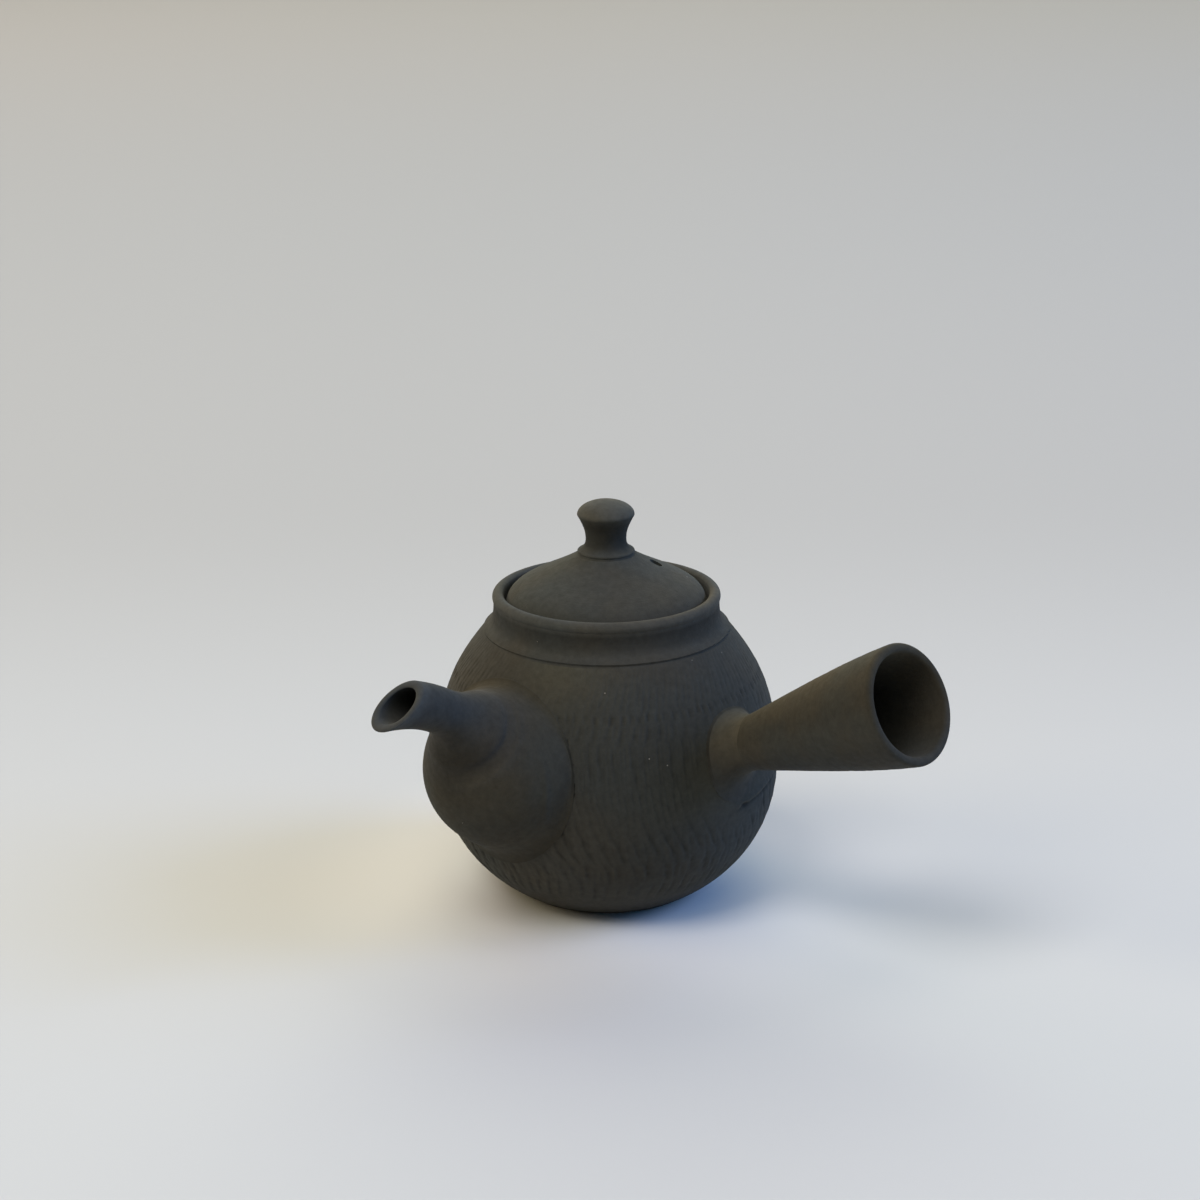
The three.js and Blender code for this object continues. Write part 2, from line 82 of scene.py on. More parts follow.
def add(tree, kind, settings=None, **wires):
    """A node with its settings; a wire is a value, or a socket to link from. Spaces in names are underscores."""
    node = tree.nodes.new(kind)
    for key, value in (settings or {}).items():
        setattr(node, key, value)
    for key, value in wires.items():
        socket = node.inputs[int(key[1:])] if key[0] == "_" else node.inputs[key.replace("_", " ")]
        if isinstance(value, bpy.types.NodeSocket):
            tree.links.new(value, socket)
        else:
            socket.default_value = value
    return node


def fade(tree, value, reach):
    """0 at the first end of the reach, 1 at the second, with a soft start and finish."""
    return add(tree, "ShaderNodeMapRange", {"interpolation_type": "SMOOTHSTEP"}, Value=value, From_Min=reach[0],
               From_Max=reach[1]).outputs["Result"]


def combined(tree, operation, *values):
    """What the operation makes of the values."""
    return add(tree, "ShaderNodeMath", {"operation": operation},
               **{f"_{i}": value for i, value in enumerate(values)}).outputs[0]


def blend(tree, share, first, second, kind="MIX"):
    """The first colour, with a share of the second mixed or multiplied in."""
    return add(tree, "ShaderNodeMix", {"data_type": "RGBA", "blend_type": kind}, Factor=share, _6=first,
               _7=second).outputs[2]


bpy.ops.mesh.primitive_plane_add(size=FLOOR_SIZE, location=(0, 0, 0))
floor = bpy.context.object
floor.name = "table_top"
paint = bpy.data.materials.new("table_paint")
paint.use_nodes = True
tree = paint.node_tree
shader = tree.nodes["Principled BSDF"]
shader.inputs["Roughness"].default_value = FLOOR_ROUGHNESS
shader.inputs["Specular IOR Level"].default_value = FLOOR_SHEEN
place = add(tree, "ShaderNodeNewGeometry").outputs["Position"]
sideways, backwards, from_pot = (
    add(tree, "ShaderNodeVectorMath", {"operation": operation}, _0=place, _1=way).outputs["Value"]
    for operation, way in (("DOT_PRODUCT", across), ("DOT_PRODUCT", away), ("LENGTH", (0, 0, 0))))
# Painted light in the floor's colour: cooler at the right, painted shade behind the pot, painted light far off and
# round the pot.
painted = blend(tree, fade(tree, sideways, SIDE_REACH), FLOOR_COLOUR, FLOOR_COOL_LIGHT_TINT)
for where, reach, level in ((backwards, BEHIND_REACH, PAINTED_SHADE_BEHIND), (backwards, FAR_REACH, PAINTED_LIGHT_FAR),
                            (from_pot, NEAR_REACH, PAINTED_LIGHT_NEAR_POT)):
    painted = blend(tree, fade(tree, where, reach), painted, level, "MULTIPLY")
tree.links.new(painted, shader.inputs["Base Color"])
floor.data.materials.append(paint)

# Soft studio light: wide round lamps four metres off, warm ones on the window's side at the left and a cool low
# one at the right, so that each side's shadow takes the other's colour, and far off a pale wall behind the pot
# and a bluish one beside it.
LAMP_DISTANCE = 4.0
LAMP_SIZE = 1.9
WALL_ELEVATION = math.radians(24)
WALL_REACH = (math.cos(math.radians(38)), math.cos(math.radians(16)))  # its soft edge and where it is full
REAR_WALL_COLOUR = (2.89, 2.96, 2.38, 1)
SIDE_WALL_COLOUR = (0.217, 0.814, 1.672, 1)
ROOM_COLOUR = (0.03, 0.03, 0.03, 1)
BACKGROUND_COLOUR = (0.5, 0.49, 0.46, 1)  # what the camera sees beyond the table


def soft_light(name, bearing, elevation, power, colour):
    """A lamp aimed at the pot; its bearing runs from the right over the back to the left, in degrees."""
    lamp = bpy.data.lights.new(name, "AREA")
    lamp.shape = "DISK"
    lamp.size = LAMP_SIZE
    lamp.energy = power
    lamp.color = colour
    holder = bpy.data.objects.new(name, lamp)
    bpy.context.collection.objects.link(holder)
    bearing, elevation = math.radians(bearing), math.radians(elevation)
    flat = across * math.cos(bearing) + away * math.sin(bearing)
    place = (flat * math.cos(elevation) + Vector((0, 0, math.sin(elevation)))) * LAMP_DISTANCE
    holder.matrix_world = Matrix.Translation(place) @ place.to_track_quat("Z", "Y").to_matrix().to_4x4()


soft_light("window_light", 225, 58, 69, (1.0, 0.959, 0.913))
soft_light("low_window_light", 190, 32, 44, (1.0, 0.851, 0.546))
soft_light("rear_left_light", 135, 32, 18, (1.0, 0.70, 0.63))
soft_light("side_light", 0, 32, 76, (0.37, 0.514, 1.0))
soft_light("front_light", 270, 58, 19.3, (1.0, 1.0, 0.92))
soft_light("overhead_light", 0, 88, 14, (1.0, 0.82, 0.58))
world = bpy.data.worlds.new("room")
world.use_nodes = True
tree = world.node_tree
direction = add(tree, "ShaderNodeTexCoord").outputs["Generated"]
shade = ROOM_COLOUR
for way, colour in ((away, REAR_WALL_COLOUR), (across, SIDE_WALL_COLOUR)):
    middle = way * math.cos(WALL_ELEVATION) + Vector((0, 0, math.sin(WALL_ELEVATION)))
    facing = add(tree, "ShaderNodeVectorMath", {"operation": "DOT_PRODUCT"}, _0=direction, _1=middle)
    shade = blend(tree, fade(tree, facing.outputs["Value"], WALL_REACH), shade, colour)
path = add(tree, "ShaderNodeLightPath")
seen = path.outputs["Is Camera Ray"]
for ray in ("Is Glossy Ray", "Is Transmission Ray"):
    seen = combined(tree, "MAXIMUM", seen, path.outputs[ray])
tree.links.new(blend(tree, seen, shade, BACKGROUND_COLOUR), tree.nodes["Background"].inputs["Color"])
bpy.context.scene.world = world

# The pot itself: thrown on the wheel from black-brown stoneware, its wall trimmed leather hard with a springy
# blade that skipped and left rows of chatter marks, then fired unglazed. Sizes are in millimetres.
MM = 0.001
BASE_RADIUS = 25.9
BASE_EDGE = 3
BELLY_RADIUS = 46
BELLY_HEIGHT = 34
SHOULDER_RADIUS = 33.3
SHOULDER_HEIGHT = 71.9
FOOT_FLARE = (13.5, 7.8)
BELLY_FULLNESS = (13, 19)  # below, above
SHOULDER_SLOPE = (8.4, 10.4)
WALL = 3.2
FLOOR = 4
CORNER_INSIDE = 5
GROOVE_DEPTH = 0.8
GROOVE_WIDTH = 0.9
NECK_RADIUS = 30.1
NECK_HEIGHT = 7.2
LIP_HEIGHT = 3.3
LIP_THICKNESS = 3.1
LIP_OVERHANG = 0.3
LIP_UNDERCUT = 40  # degrees
COLLAR_LEAVES = (2.0, 1.5)
COLLAR_ARRIVES = 4.2
COLLAR_RADIUS = 32.9  # at its foot
LEDGE_DEPTH = 5
LEDGE_WIDTH = 2.6
LEDGE_THICKNESS = 3
FINE_COLUMNS = 1260
COLUMNS = 180

lip_top = SHOULDER_HEIGHT + GROOVE_WIDTH / 2 + NECK_HEIGHT + LIP_HEIGHT
lip_radius = NECK_RADIUS + LIP_OVERHANG
lip_inside = lip_radius - LIP_THICKNESS
ledge_top = lip_top - LEDGE_DEPTH
mouth_radius = lip_inside - LEDGE_WIDTH


def bezier(a, b, c, d, steps):
    t = np.linspace(0, 1, steps + 1)[:, None]
    a, b, c, d = (np.array(p, float) for p in (a, b, c, d))
    return (1 - t) ** 3 * a + 3 * (1 - t) ** 2 * t * b + 3 * (1 - t) * t**2 * c + t**3 * d


def arc(middle, radii, start, stop, steps):
    turn = np.radians(np.linspace(start, stop, steps + 1))
    return np.stack([middle[0] + radii[0] * np.cos(turn), middle[1] + radii[1] * np.sin(turn)], 1)


def offset(profile, distance):
    along = np.gradient(profile, axis=0)
    along /= np.linalg.norm(along, axis=1)[:, None]
    return profile + distance * np.stack([along[:, 1], -along[:, 0]], 1)


def hump(value, middle, width):
    """1 at the middle, fading away to both sides."""
    return np.exp(-(((value - middle) / width) ** 2))


def signed(degrees):
    """The same bearing, between -180 and 180."""
    return (degrees + 180) % 360 - 180


def run(rows):
    """How far down its column each point of a stack of rings lies."""
    steps = np.linalg.norm(np.diff(rows, axis=0), axis=-1)
    return np.concatenate([0 * steps[:1], np.cumsum(steps, axis=0)])


def evenly(profile, spacing):
    """The same outline with its points a fixed distance apart."""
    length = run(profile)
    at = np.linspace(0, length[-1], int(length[-1] / spacing) + 2)
    return np.stack([np.interp(at, length, profile[:, 0]), np.interp(at, length, profile[:, 1])], 1)


def turned(profile, columns):
    """Rings about the upright axis, one for each point of the profile."""
    turn = np.linspace(0, 2 * math.pi, columns, endpoint=False)
    ring = np.stack([np.cos(turn), np.sin(turn), np.zeros(columns)], 1)
    return profile[:, 0, None, None] * ring + profile[:, 1, None, None] * np.array([0, 0, 1.0])


class Skin:
    """A closed surface, built up ring by ring. A ring of one point closes an end; a ring may have a whole
    number of times as many points as its neighbour."""

    def __init__(self):
        self.points, self.faces, self.rings = [], [], []
        self.count = 0
        self.values = {}

    def add(self, rings, **values):
        for i, ring in enumerate(rings):
            self.points.append(ring)
            self.rings.append((self.count, len(ring)))
            for name in set(self.values) | set(values):
                row = values.get(name)
                row = np.zeros(len(ring)) if row is None else np.broadcast_to(row[i], (len(ring),))
                self.values.setdefault(name, [np.zeros(self.count)]).append(row)
            self.count += len(ring)
            if len(self.rings) > 1:
                self.join(self.rings[-2], self.rings[-1])

    def tip(self, height, **values):
        """A single point on the upright axis, which closes an end."""
        self.add([np.array([[0, 0, height]], float)], **values)

    def join(self, low, high):
        (a, n), (b, m) = low, high
        if n == m:
            j = np.arange(n)
            k = (j + 1) % n
            self.faces += np.stack([a + j, a + k, b + k, b + j], 1).tolist()
        elif m == 1 or n == 1:
            j = np.arange(max(n, m))
            k = (j + 1) % max(n, m)
            fan = [a + j, a + k, b + 0 * j] if m == 1 else [b + k, b + j, a + 0 * j]
            self.faces += np.stack(fan, 1).tolist()
        else:
            self.step(a, n, b, m)

    def step(self, a, n, b, m):
        """Triangles between a fine ring and a coarse one."""
        fine, coarse, count, each = (a, b, m, n // m) if n > m else (b, a, n, m // n)
        for j in range(count):
            near, far = coarse + j, coarse + (j + 1) % count
            for i in range(each):
                first = fine + j * each + i
                second = fine + (j * each + i + 1) % (count * each)
                corner = near if i <= each // 2 else far
                self.faces.append([first, second, corner] if n > m else [second, first, corner])
                if i == each // 2:
                    self.faces.append([second, far, near] if n > m else [near, far, second])

    def close(self):
        self.join(self.rings[-1], self.rings[0])

    def build(self, name, material, body, node, sharp=40):
        mesh = bpy.data.meshes.new(name)
        mesh.from_pydata((np.concatenate(self.points) * MM).tolist(), [], self.faces)
        for value, rows in self.values.items():
            layer = mesh.attributes.new(value, "FLOAT", "POINT")
            layer.data.foreach_set("value", np.concatenate(rows).astype(np.float32))
        mesh.validate()
        mesh.shade_smooth()
        mesh.set_sharp_from_angle(angle=math.radians(sharp))
        mesh.materials.append(material)
        piece = bpy.data.objects.new(name, mesh)
        bpy.context.collection.objects.link(piece)
        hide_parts(node)
        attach(piece, body)
        return piece


def group(name, inputs, outputs):
    """A shader node group with those sockets; inputs come with their standing values."""
    tree = bpy.data.node_groups.new(name, "ShaderNodeTree")
    for socket, (kind, value) in inputs.items():
        made = tree.interface.new_socket(socket, in_out="INPUT", socket_type=kind)
        if value is not None:
            made.default_value = value
    for socket, kind in outputs.items():
        tree.interface.new_socket(socket, in_out="OUTPUT", socket_type=kind)
    return tree, tree.nodes.new("NodeGroupInput"), tree.nodes.new("NodeGroupOutput")


def kiln_tint():
    """Where the flame and the ash went: faint warmer and cooler patches that run into one another."""
    tree, given, result = group(
        "kiln_tint",
        {"Vector": ("NodeSocketVector", None), "Warm": ("NodeSocketColor", None),
         "Plain": ("NodeSocketColor", None), "Cool": ("NodeSocketColor", None),
         "Patch Scale": ("NodeSocketFloat", 30.0)},
        {"Color": "NodeSocketColor"},
    )
    wide = add(tree, "ShaderNodeTexNoise", Vector=given.outputs["Vector"], Scale=given.outputs["Patch Scale"],
               Detail=3.0, Roughness=0.55)
    warm = add(tree, "ShaderNodeMapRange", Value=wide.outputs["Fac"], From_Min=0.45, From_Max=0.7)
    cool = add(tree, "ShaderNodeMapRange", Value=wide.outputs["Fac"], From_Min=0.55, From_Max=0.3)
    warmed = blend(tree, warm.outputs["Result"], given.outputs["Plain"], given.outputs["Warm"])
    cooled = blend(tree, cool.outputs["Result"], warmed, given.outputs["Cool"])
    fine = add(tree, "ShaderNodeTexNoise", Vector=given.outputs["Vector"], Scale=480.0, Detail=4.0,
               Roughness=0.7)
    mottle = add(tree, "ShaderNodeMapRange", Value=fine.outputs["Fac"], From_Min=0.3, From_Max=0.7,
                 To_Min=0.86, To_Max=1.14)
    shade = add(tree, "ShaderNodeVectorMath", {"operation": "SCALE"}, Scale=mottle.outputs["Result"],
                _0=cooled)
    tree.links.new(shade.outputs["Vector"], result.inputs["Color"])
    return tree


def clay_grain():
    """The skin of the fired clay: a fine sandy grain, and a few pale grits that the blade laid bare."""
    tree, given, result = group(
        "clay_grain",
        {"Vector": ("NodeSocketVector", None), "Grain Scale": ("NodeSocketFloat", 2600.0),
         "Grit Scale": ("NodeSocketFloat", 330.0), "Grit Share": ("NodeSocketFloat", 0.05)},
        {"Height": "NodeSocketFloat", "Grit": "NodeSocketFloat", "Roughness": "NodeSocketFloat"},
    )
    sand = add(tree, "ShaderNodeTexNoise", Vector=given.outputs["Vector"],
               Scale=given.outputs["Grain Scale"], Detail=3.0, Roughness=0.6)
    uneven = add(tree, "ShaderNodeTexNoise", Vector=given.outputs["Vector"], Scale=700.0, Detail=2.0)
    height = combined(tree, "ADD", sand.outputs["Fac"], uneven.outputs["Fac"])
    cells = add(tree, "ShaderNodeTexVoronoi", Vector=given.outputs["Vector"], Scale=given.outputs["Grit Scale"])
    apart = add(tree, "ShaderNodeSeparateColor", Color=cells.outputs["Color"])
    chosen = combined(tree, "LESS_THAN", apart.outputs["Red"], given.outputs["Grit Share"])
    size = add(tree, "ShaderNodeMapRange", Value=apart.outputs["Green"], To_Min=0.03, To_Max=0.07)
    dot = combined(tree, "LESS_THAN", cells.outputs["Distance"], size.outputs["Result"])
    grit = combined(tree, "MULTIPLY", chosen, dot)
    gloss = add(tree, "ShaderNodeMapRange", Value=uneven.outputs["Fac"], From_Min=0.3, From_Max=0.7,
                To_Min=0.78, To_Max=0.92)
    tree.links.new(height, result.inputs["Height"])
    tree.links.new(grit, result.inputs["Grit"])
    tree.links.new(gloss.outputs["Result"], result.inputs["Roughness"])
    return tree


def wheel_rings():
    """Fine rings that fingers and tools leave on turning clay, given the distance along the axis."""
    tree, given, result = group(
        "wheel_rings",
        {"Along": ("NodeSocketFloat", 0.0), "Rings per mm": ("NodeSocketFloat", 2.0)},
        {"Height": "NodeSocketFloat"},
    )
    scaled = combined(tree, "MULTIPLY", given.outputs["Along"], given.outputs["Rings per mm"])
    lines = add(tree, "ShaderNodeTexNoise", {"noise_dimensions": "1D"}, W=scaled, Scale=1.0, Detail=3.0,
                Roughness=0.7)
    tree.links.new(lines.outputs["Fac"], result.inputs["Height"])
    return tree


KILN_TINT, CLAY_GRAIN, WHEEL_RINGS = kiln_tint(), clay_grain(), wheel_rings()
GRIT_COLOUR = (0.24, 0.22, 0.19, 1)
WARM_CAST = np.array([1.10, 1.0, 0.88])
COOL_CAST = np.array([0.93, 1.0, 1.07])
# The brown given by the stain value, which carries painted warm light as well as browner clay.
STAIN_AND_WARM_LIGHT_CAST = (1.05, 0.98, 0.80, 1)
PAINTED_SHADE_LEVEL, PAINTED_LIGHT_LEVEL = 0.6, 1.5  # of the clay's own colour, under the most painted shade and under the most painted light


def clay(name, colour, rings_per_mm, ring_height, grain_height, grit_share=0.05, patch_scale=30.0):
    """Unglazed stoneware. The mesh says how far along its axis each point lies, how much shade is painted into its
    colour (the cut value, up to 1) and how much light (below 0), and where it is browner, partly with painted warm
    light."""
    warm, plain, cool = ((*(np.array(colour) * cast), 1) for cast in (WARM_CAST, 1, COOL_CAST))
    material = bpy.data.materials.new(name)
    material.use_nodes = True
    tree = material.node_tree
    shader = tree.nodes["Principled BSDF"]
    shader.inputs["Specular IOR Level"].default_value = 0.12
    shader.inputs["Diffuse Roughness"].default_value = 0.6
    place = add(tree, "ShaderNodeTexCoord")
    tint = add(tree, "ShaderNodeGroup", {"node_tree": KILN_TINT}, Vector=place.outputs["Object"],
               Warm=warm, Plain=plain, Cool=cool, Patch_Scale=patch_scale)
    grain = add(tree, "ShaderNodeGroup", {"node_tree": CLAY_GRAIN}, Vector=place.outputs["Object"],
                Grit_Share=grit_share)
    along = add(tree, "ShaderNodeAttribute", {"attribute_name": "along"})
    rings = add(tree, "ShaderNodeGroup", {"node_tree": WHEEL_RINGS}, Along=along.outputs["Fac"],
                Rings_per_mm=rings_per_mm)
    # The cut value carries painted shade (up to 1) and painted light (below 0) into the colour.
    cut = add(tree, "ShaderNodeAttribute", {"attribute_name": "cut"})
    painted_light_and_shade = add(tree, "ShaderNodeMapRange", Value=cut.outputs["Fac"], From_Min=-1.0, To_Min=PAINTED_LIGHT_LEVEL,
                 To_Max=PAINTED_SHADE_LEVEL)
    stain = add(tree, "ShaderNodeAttribute", {"attribute_name": "stain"})
    stained = blend(tree, stain.outputs["Fac"], tint.outputs["Color"], STAIN_AND_WARM_LIGHT_CAST, "MULTIPLY")
    shaded = add(tree, "ShaderNodeVectorMath", {"operation": "SCALE"}, _0=stained, Scale=painted_light_and_shade.outputs["Result"])
    spotted = blend(tree, grain.outputs["Grit"], shaded.outputs["Vector"], GRIT_COLOUR)
    ringed = combined(tree, "MULTIPLY", rings.outputs["Height"], ring_height)
    height = combined(tree, "MULTIPLY_ADD", grain.outputs["Height"], grain_height, ringed)
    bump = add(tree, "ShaderNodeBump", Strength=1.0, Distance=MM, Height=height)
    tree.links.new(spotted, shader.inputs["Base Color"])
    tree.links.new(grain.outputs["Roughness"], shader.inputs["Roughness"])
    tree.links.new(bump.outputs["Normal"], shader.inputs["Normal"])
    return material


foot_slope = math.degrees(math.atan2(-FOOT_FLARE[0], FOOT_FLARE[1]))
base_edge = arc((BASE_RADIUS - BASE_EDGE * math.cos(math.radians(foot_slope)), BASE_EDGE), (BASE_EDGE, BASE_EDGE),
                -90, foot_slope, 8)
foot = base_edge[-1]
belly = (BELLY_RADIUS, BELLY_HEIGHT)
shoulder = (SHOULDER_RADIUS, SHOULDER_HEIGHT)
wall = np.concatenate([
    bezier(foot, (foot[0] + FOOT_FLARE[0], foot[1] + FOOT_FLARE[1]),
           (BELLY_RADIUS, BELLY_HEIGHT - BELLY_FULLNESS[0]), belly, 80),
    bezier(belly, (BELLY_RADIUS, BELLY_HEIGHT + BELLY_FULLNESS[1]),
           (SHOULDER_RADIUS + SHOULDER_SLOPE[0], SHOULDER_HEIGHT - SHOULDER_SLOPE[1]), shoulder, 80)[1:],
])


def radius_at(height):
    return np.interp(height, wall[:, 1], wall[:, 0])


# Each row of chatter marks: lowest and highest edge, marks round the pot, lean in pitches, how far it curls,
# depth, and how much of the pitch one mark takes.
CHATTER_ROWS = (
    (67.0, 72.6, 150, -0.40, 0.0, 0.06, 0.26), (61.6, 68.4, 132, -0.50, 0.1, 0.12, 0.26),
    (59.4, 61.8, 112, 0.00, 0.0, 0.26, 0.26),
    (54.0, 59.2, 77, -0.20, 0.0, 0.15, 0.20), (54.8, 59.8, 154, -0.15, 0.0, 0.09, 0.28),
    (43.5, 55.0, 76, 0.10, 0.1, 0.16, 0.18), (48.4, 55.2, 236, 0.10, 0.0, 0.08, 0.28),
    (42.4, 49.4, 236, 0.20, 0.0, 0.08, 0.28),
    (37.0, 43.8, 158, 0.30, 0.0, 0.15, 0.24), (32.2, 38.6, 150, 0.35, 0.0, 0.11, 0.26),
    (21.0, 33.8, 68, 0.75, -0.2, 0.30, 0.16), (20.0, 33.0, 136, 0.70, -0.2, 0.10, 0.26),
    (15.4, 22.4, 70, 0.15, 0.0, 0.27, 0.20), (15.0, 21.0, 140, 0.10, 0.0, 0.10, 0.28),
    (8.8, 16.0, 84, -0.12, 0.1, 0.24, 0.20),
)
CUT_DEPTH = 0.30  # of the deepest marks
STROKE = (0.6, 1.2)  # steep on one side, shallow on the other, next to the row's width
BURR = (0.32, 1.5, 0.7)  # clay pushed up beside a mark: height, distance and width next to the mark's own
WALL_SUNK = 0.08  # the wall lies this much inside its outline, so that the burrs do not stand out of it
LEAST_FORCE = 0.45  # of the shallowest mark, next to the deepest
DRIFT = (3, 7, 13)  # slow waves round the pot that push the marks apart and together


def chatter(turn, height):
    """How deep the blade bit at each point, in millimetres; less than nothing where it pushed up a burr."""
    chance = np.random.default_rng(7)
    depth = np.zeros(np.broadcast(turn, height).shape)
    for low, high, count, lean, curl, bite, width in CHATTER_ROWS:
        lift, push, force = (chance.uniform(least, 1, count) for least in (-1, -1, LEAST_FORCE))
        drift = sum(0.25 / k * np.sin(k * turn + chance.uniform(0, 6.3) + 0.12 * k * height) for k in DRIFT)
        level = (height - (low + high) / 2) / ((high - low) / 2)
        phase = turn / (2 * math.pi) * count + lean * (level + curl * level**2) + drift
        mark = np.floor(phase).astype(int) % count
        side = phase - np.floor(phase) - 0.5 - 0.18 * push[mark]
        reach = np.clip(1 - (level + 0.25 * lift[mark]) ** 2, 0, 1) ** 0.6
        stroke = hump(side, 0, np.where(side < 0, *STROKE) * width)
        burr = BURR[0] * hump(side, -BURR[1] * width, BURR[2] * width)
        skip = 0.8 + 0.2 * np.cos(9 * level + 6 * lift[mark])
        depth += bite * force[mark] * skip * reach * (stroke - burr)
    return np.clip(depth, -WALL_SUNK, CUT_DEPTH)


FOLD_LINE = (32.6, 0.085)  # its height at the handle's bearing, and its rise for each degree round the pot
FOLD_PARTS = ((0.30, -0.7, 0.6), (-0.28, 0.5, 0.9))  # depth, height over that line, width
FOLD_BEARINGS = (13, 15)  # its middle, and half its length
NICK = (3, 32.6, 0.7)  # bearing, height, depth


def smear_edge(bearing, height):
    """The end of the clay drawn down from the handle: a low fold, the groove under it and a finger nail's nick."""
    above = height - (FOLD_LINE[0] + FOLD_LINE[1] * bearing)
    fold = sum(depth * hump(above, middle, width) for depth, middle, width in FOLD_PARTS)
    fold = fold * np.exp(-(((bearing - FOLD_BEARINGS[0]) / FOLD_BEARINGS[1]) ** 4))
    over = height - NICK[1]
    return fold + NICK[2] * np.exp(-((bearing - NICK[0]) * 0.8 + 0.5 * over) ** 2 / 1.7 - (over / 0.6) ** 2)


CRACK_COURSE = ((32.5, 42.6, 49.8, 55.6), (-63.4, -59.2, -60.3, -62.3))  # heights, bearings
CRACK_ENDS = (40.5, 43, 54, 56.5)
CRACK_DEPTH = 0.75
CRACK_WIDTH = 0.30
CRACK_NOTCH = (0.55, 1.5)  # width, height


def crack(bearing, height):
    """Where the spout's foot tore a little off the wall as it dried: a thin ragged gap and a notch lower down."""
    course = np.interp(height, *CRACK_COURSE) + 0.28 * np.sin(2.3 * height) + 0.2 * np.sin(5.1 * height)
    aside = np.radians(bearing - course) * BELLY_RADIUS
    gap = np.interp(height, CRACK_ENDS, (0, 1, 1, 0)) * (0.75 + 0.25 * np.sin(1.4 * height))
    notch = hump(aside, 0, CRACK_NOTCH[0]) * hump(height, CRACK_COURSE[0][0], CRACK_NOTCH[1])
    return CRACK_DEPTH * (gap * hump(aside, 0, CRACK_WIDTH) + notch)


# Where the chatter marks were wiped away again with a wet finger, round the spout's foot and the handle's: way,
# height, radius with no marks, radius with all of them, how much taller than wide. Then soft patches on the wall:
# strength, bearing, height, half the width in degrees, half the height.
SPOUT_HEIGHT = 45.1
HANDLE_HEIGHT = 49
WIPED = (((0, -1), 42.6, 22.6, 24.6, 1.0), ((1, 0), 42.0, 12.0, 16.5, 1.1))
RUBBED = ((0.85, -74, 69, 22, 7),)
# Painted light and shade on the wall: shade where the strength is above nothing, light where it is below.
WALL_PAINTED_LIGHT_AND_SHADE = ((0.12, -36, 56, 30, 14), (0.4, -20, 50, 16, 10), (-0.85, -68, 72, 20, 7), (-0.6, -76, 19, 24, 9),
            (-0.35, -44, 8, 50, 6))
# Browner patches on the wall: one by the handle's root, and painted warm light on the shoulder above the spout.
STAINED_AND_WARM_LIT = ((1.1, -8, 46, 24, 12), (0.9, -68, 71, 22, 9))


def patches(points, table):
    bearing = np.degrees(np.arctan2(points[..., 1], points[..., 0]))
    return sum(strength * hump(signed(bearing - middle), 0, wide) * hump(points[..., 2], height, tall)
               for strength, middle, height, wide, tall in table)


def wiped(points):
    """0 where a foot of clay was smoothed on, 1 where the marks are untouched."""
    left = 1 - patches(points, RUBBED)
    for (x, y), height, none, full, taller in WIPED:
        facing = points[..., 0] * x + points[..., 1] * y > 0
        aside = points[..., 0] * y - points[..., 1] * x
        distance = np.hypot(aside, (points[..., 2] - height) / taller)
        left = np.where(facing, left * np.clip((distance - none) / (full - none), 0, 1), left)
    return left


spaced = evenly(offset(wall, -WALL_SUNK), 0.42)
normal = offset(spaced, 1) - spaced
rings = turned(spaced, FINE_COLUMNS)
turn = np.linspace(0, 2 * math.pi, FINE_COLUMNS, endpoint=False)
height = spaced[:, 1, None]
bearing = signed(np.degrees(turn))
depth = chatter(turn, height) * wiped(rings) + smear_edge(bearing, height) + crack(bearing, height)
push = np.stack([normal[:, 0, None] * np.cos(turn), normal[:, 0, None] * np.sin(turn),
                 np.broadcast_to(normal[:, 1, None], depth.shape)], 2)
rings = rings - depth[..., None] * push

collar_foot = SHOULDER_HEIGHT + GROOVE_WIDTH
neck_top = lip_top - LIP_HEIGHT
groove = [(SHOULDER_RADIUS - GROOVE_DEPTH * 0.5, SHOULDER_HEIGHT + 0.12),
          (SHOULDER_RADIUS - GROOVE_DEPTH * 0.85, SHOULDER_HEIGHT + GROOVE_WIDTH * 0.45),
          (SHOULDER_RADIUS - GROOVE_DEPTH * 0.7, collar_foot - 0.15)]
collar = bezier((COLLAR_RADIUS, collar_foot), (COLLAR_RADIUS - COLLAR_LEAVES[0], collar_foot + COLLAR_LEAVES[1]),
                (NECK_RADIUS, neck_top - COLLAR_ARRIVES), (NECK_RADIUS, neck_top), 16)
lip = arc((lip_radius - LIP_THICKNESS / 2, lip_top - LIP_HEIGHT / 2), (LIP_THICKNESS / 2, LIP_HEIGHT / 2),
          -LIP_UNDERCUT, 180, 26)
ledge = np.array([(lip_inside, ledge_top + 0.4), (lip_inside - 0.4, ledge_top), (mouth_radius + 0.3, ledge_top),
                  (mouth_radius, ledge_top - 0.3), (mouth_radius, ledge_top - LEDGE_THICKNESS)])
inside = offset(wall, -WALL)[::-4]
inside = inside[(inside[:, 0] > mouth_radius + 0.5) & (inside[:, 1] < ledge_top - LEDGE_THICKNESS)
                & (inside[:, 1] > FLOOR + CORNER_INSIDE)]
corner = arc((inside[-1, 0] - CORNER_INSIDE, FLOOR + CORNER_INSIDE), (CORNER_INSIDE, CORNER_INSIDE), -20, -90, 8)
upper = evenly(np.concatenate([groove, collar, lip, ledge]), 0.35)
lower = np.concatenate([inside, corner])

